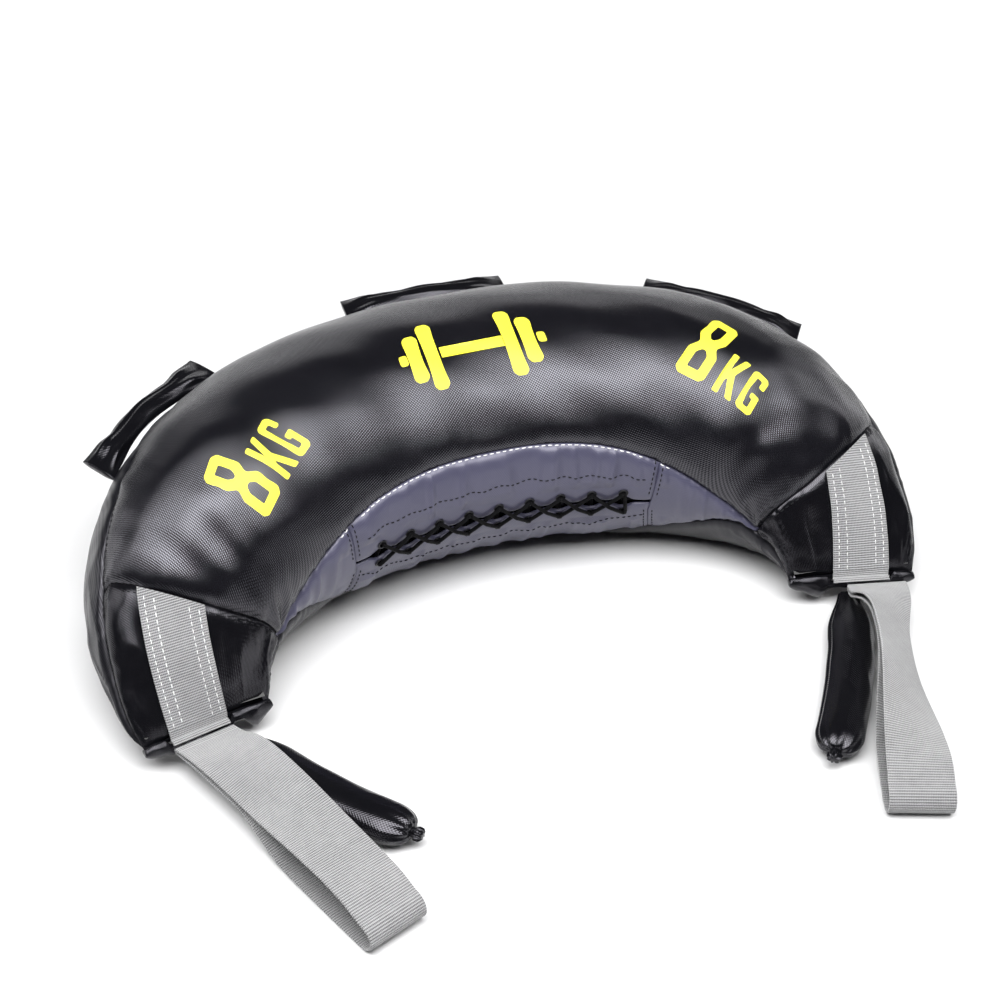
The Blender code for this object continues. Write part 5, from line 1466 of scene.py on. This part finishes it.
MARKS = {"left": weight_mark(-1.134, 134.5, 8.0, True), "right": weight_mark(1.15, 131.0, 6.5, False)}
for name, place in MARKS.items():
    for part, outlines in (("figure", EIGHT), ("k", LETTER_K), ("g", LETTER_G)):
        print_on_cover(f"{name}_print_{part}", outlines, place)
for part, outline in enumerate(DUMBBELL):
    print_on_cover(f"centre_print_{part + 1}", [outline], centre_mark)

# %% [markdown]
# ## Light and floor
# A large soft lamp hangs above the open side, so it is mirrored as a broad band on the cover's
# shoulder while the crest stays dark. The floor is plain and pale and catches the soft shadow. The
# world is lit only behind the bag, near the horizon.

# %% Light and floor
def soft_lamp(name, place, target, width, height, power):
    """A rectangular lamp that faces a target: its minus Z axis is turned towards it."""
    data = bpy.data.lights.new(name, "AREA")
    data.shape, data.size, data.size_y, data.energy = "RECTANGLE", width, height, power
    item = put_in_scene(name, data)
    way = Vector(target) - Vector(place)
    item.matrix_world = Matrix.Translation(Vector(place)) @ way.to_track_quat("-Z", "Y").to_matrix().to_4x4()
    return item


FLOOR_HALF, GLOW_START, GLOW_END, GLOW_MOST = 6.0, 0.40, 1.10, 0.6


def plain_floor():
    """A flat sheet, matt and pale. It glows from GLOW_START metres out, where the lamps thin out."""
    made, tree, shader, cloth, place = new_material("pale_floor", base_color=(0.68, 0.68, 0.684, 1.0),
                                                    roughness=0.9, emission_color=(1.0, 1.0, 1.0, 1.0))
    distance = tree.nodes.new("ShaderNodeVectorMath")
    distance.operation = "LENGTH"
    tree.links.new(place, distance.inputs[0])
    glow = mapped(tree, distance.outputs["Value"], 0.0, GLOW_MOST, GLOW_START, GLOW_END)
    tree.links.new(glow, shader.inputs["Emission Strength"])
    mesh = bpy.data.meshes.new("floor")
    corners = [(x * FLOOR_HALF, y * FLOOR_HALF, 0.0) for x, y in ((-1, -1), (1, -1), (1, 1), (-1, 1))]
    mesh.from_pydata(corners, [], [(0, 1, 2, 3)])
    mesh.materials.append(made)
    return put_in_scene("floor", mesh)


lamps = [
    soft_lamp("softbox_above", (-0.15, -0.58, 1.38), (-0.05, -0.24, 0.08), 2.1, 0.92, 60.0),
    soft_lamp("softbox_left", (-1.7, 0.5, 0.7), (0.0, 0.0, 0.05), 0.5, 0.9, 7.0),
    soft_lamp("softbox_right", (1.7, 0.2, 0.7), (0.0, 0.0, 0.05), 0.4, 0.9, 5.0),
    soft_lamp("softbox_behind", (0.4, 2.4, 0.85), (0.0, 0.6, 0.0), 3.0, 0.35, 9.0),
]
plain_floor()
world = bpy.data.worlds.new("studio")
world.use_nodes = True
tree, background = world.node_tree, world.node_tree.nodes["Background"]
split = tree.nodes.new("ShaderNodeSeparateXYZ")
tree.links.new(tree.nodes.new("ShaderNodeTexCoord").outputs["Generated"], split.inputs[0])
away = mapped(tree, split.outputs[1], 0.05, 0.42, -0.1, 0.8)
low = mapped(tree, split.outputs[2], 1.0, 0.10, 0.10, 0.50)
glow = maths(tree, "MULTIPLY", away, low)
tree.links.new(mixed_colour(tree, glow, (0.0, 0.0, 0.0), (1.0, 1.0, 1.03)), background.inputs["Color"])
background.inputs["Strength"].default_value = 1.0
bpy.context.scene.world = world
bpy.context.scene.view_settings.view_transform = "Standard"
print(len(lamps), "lamps")
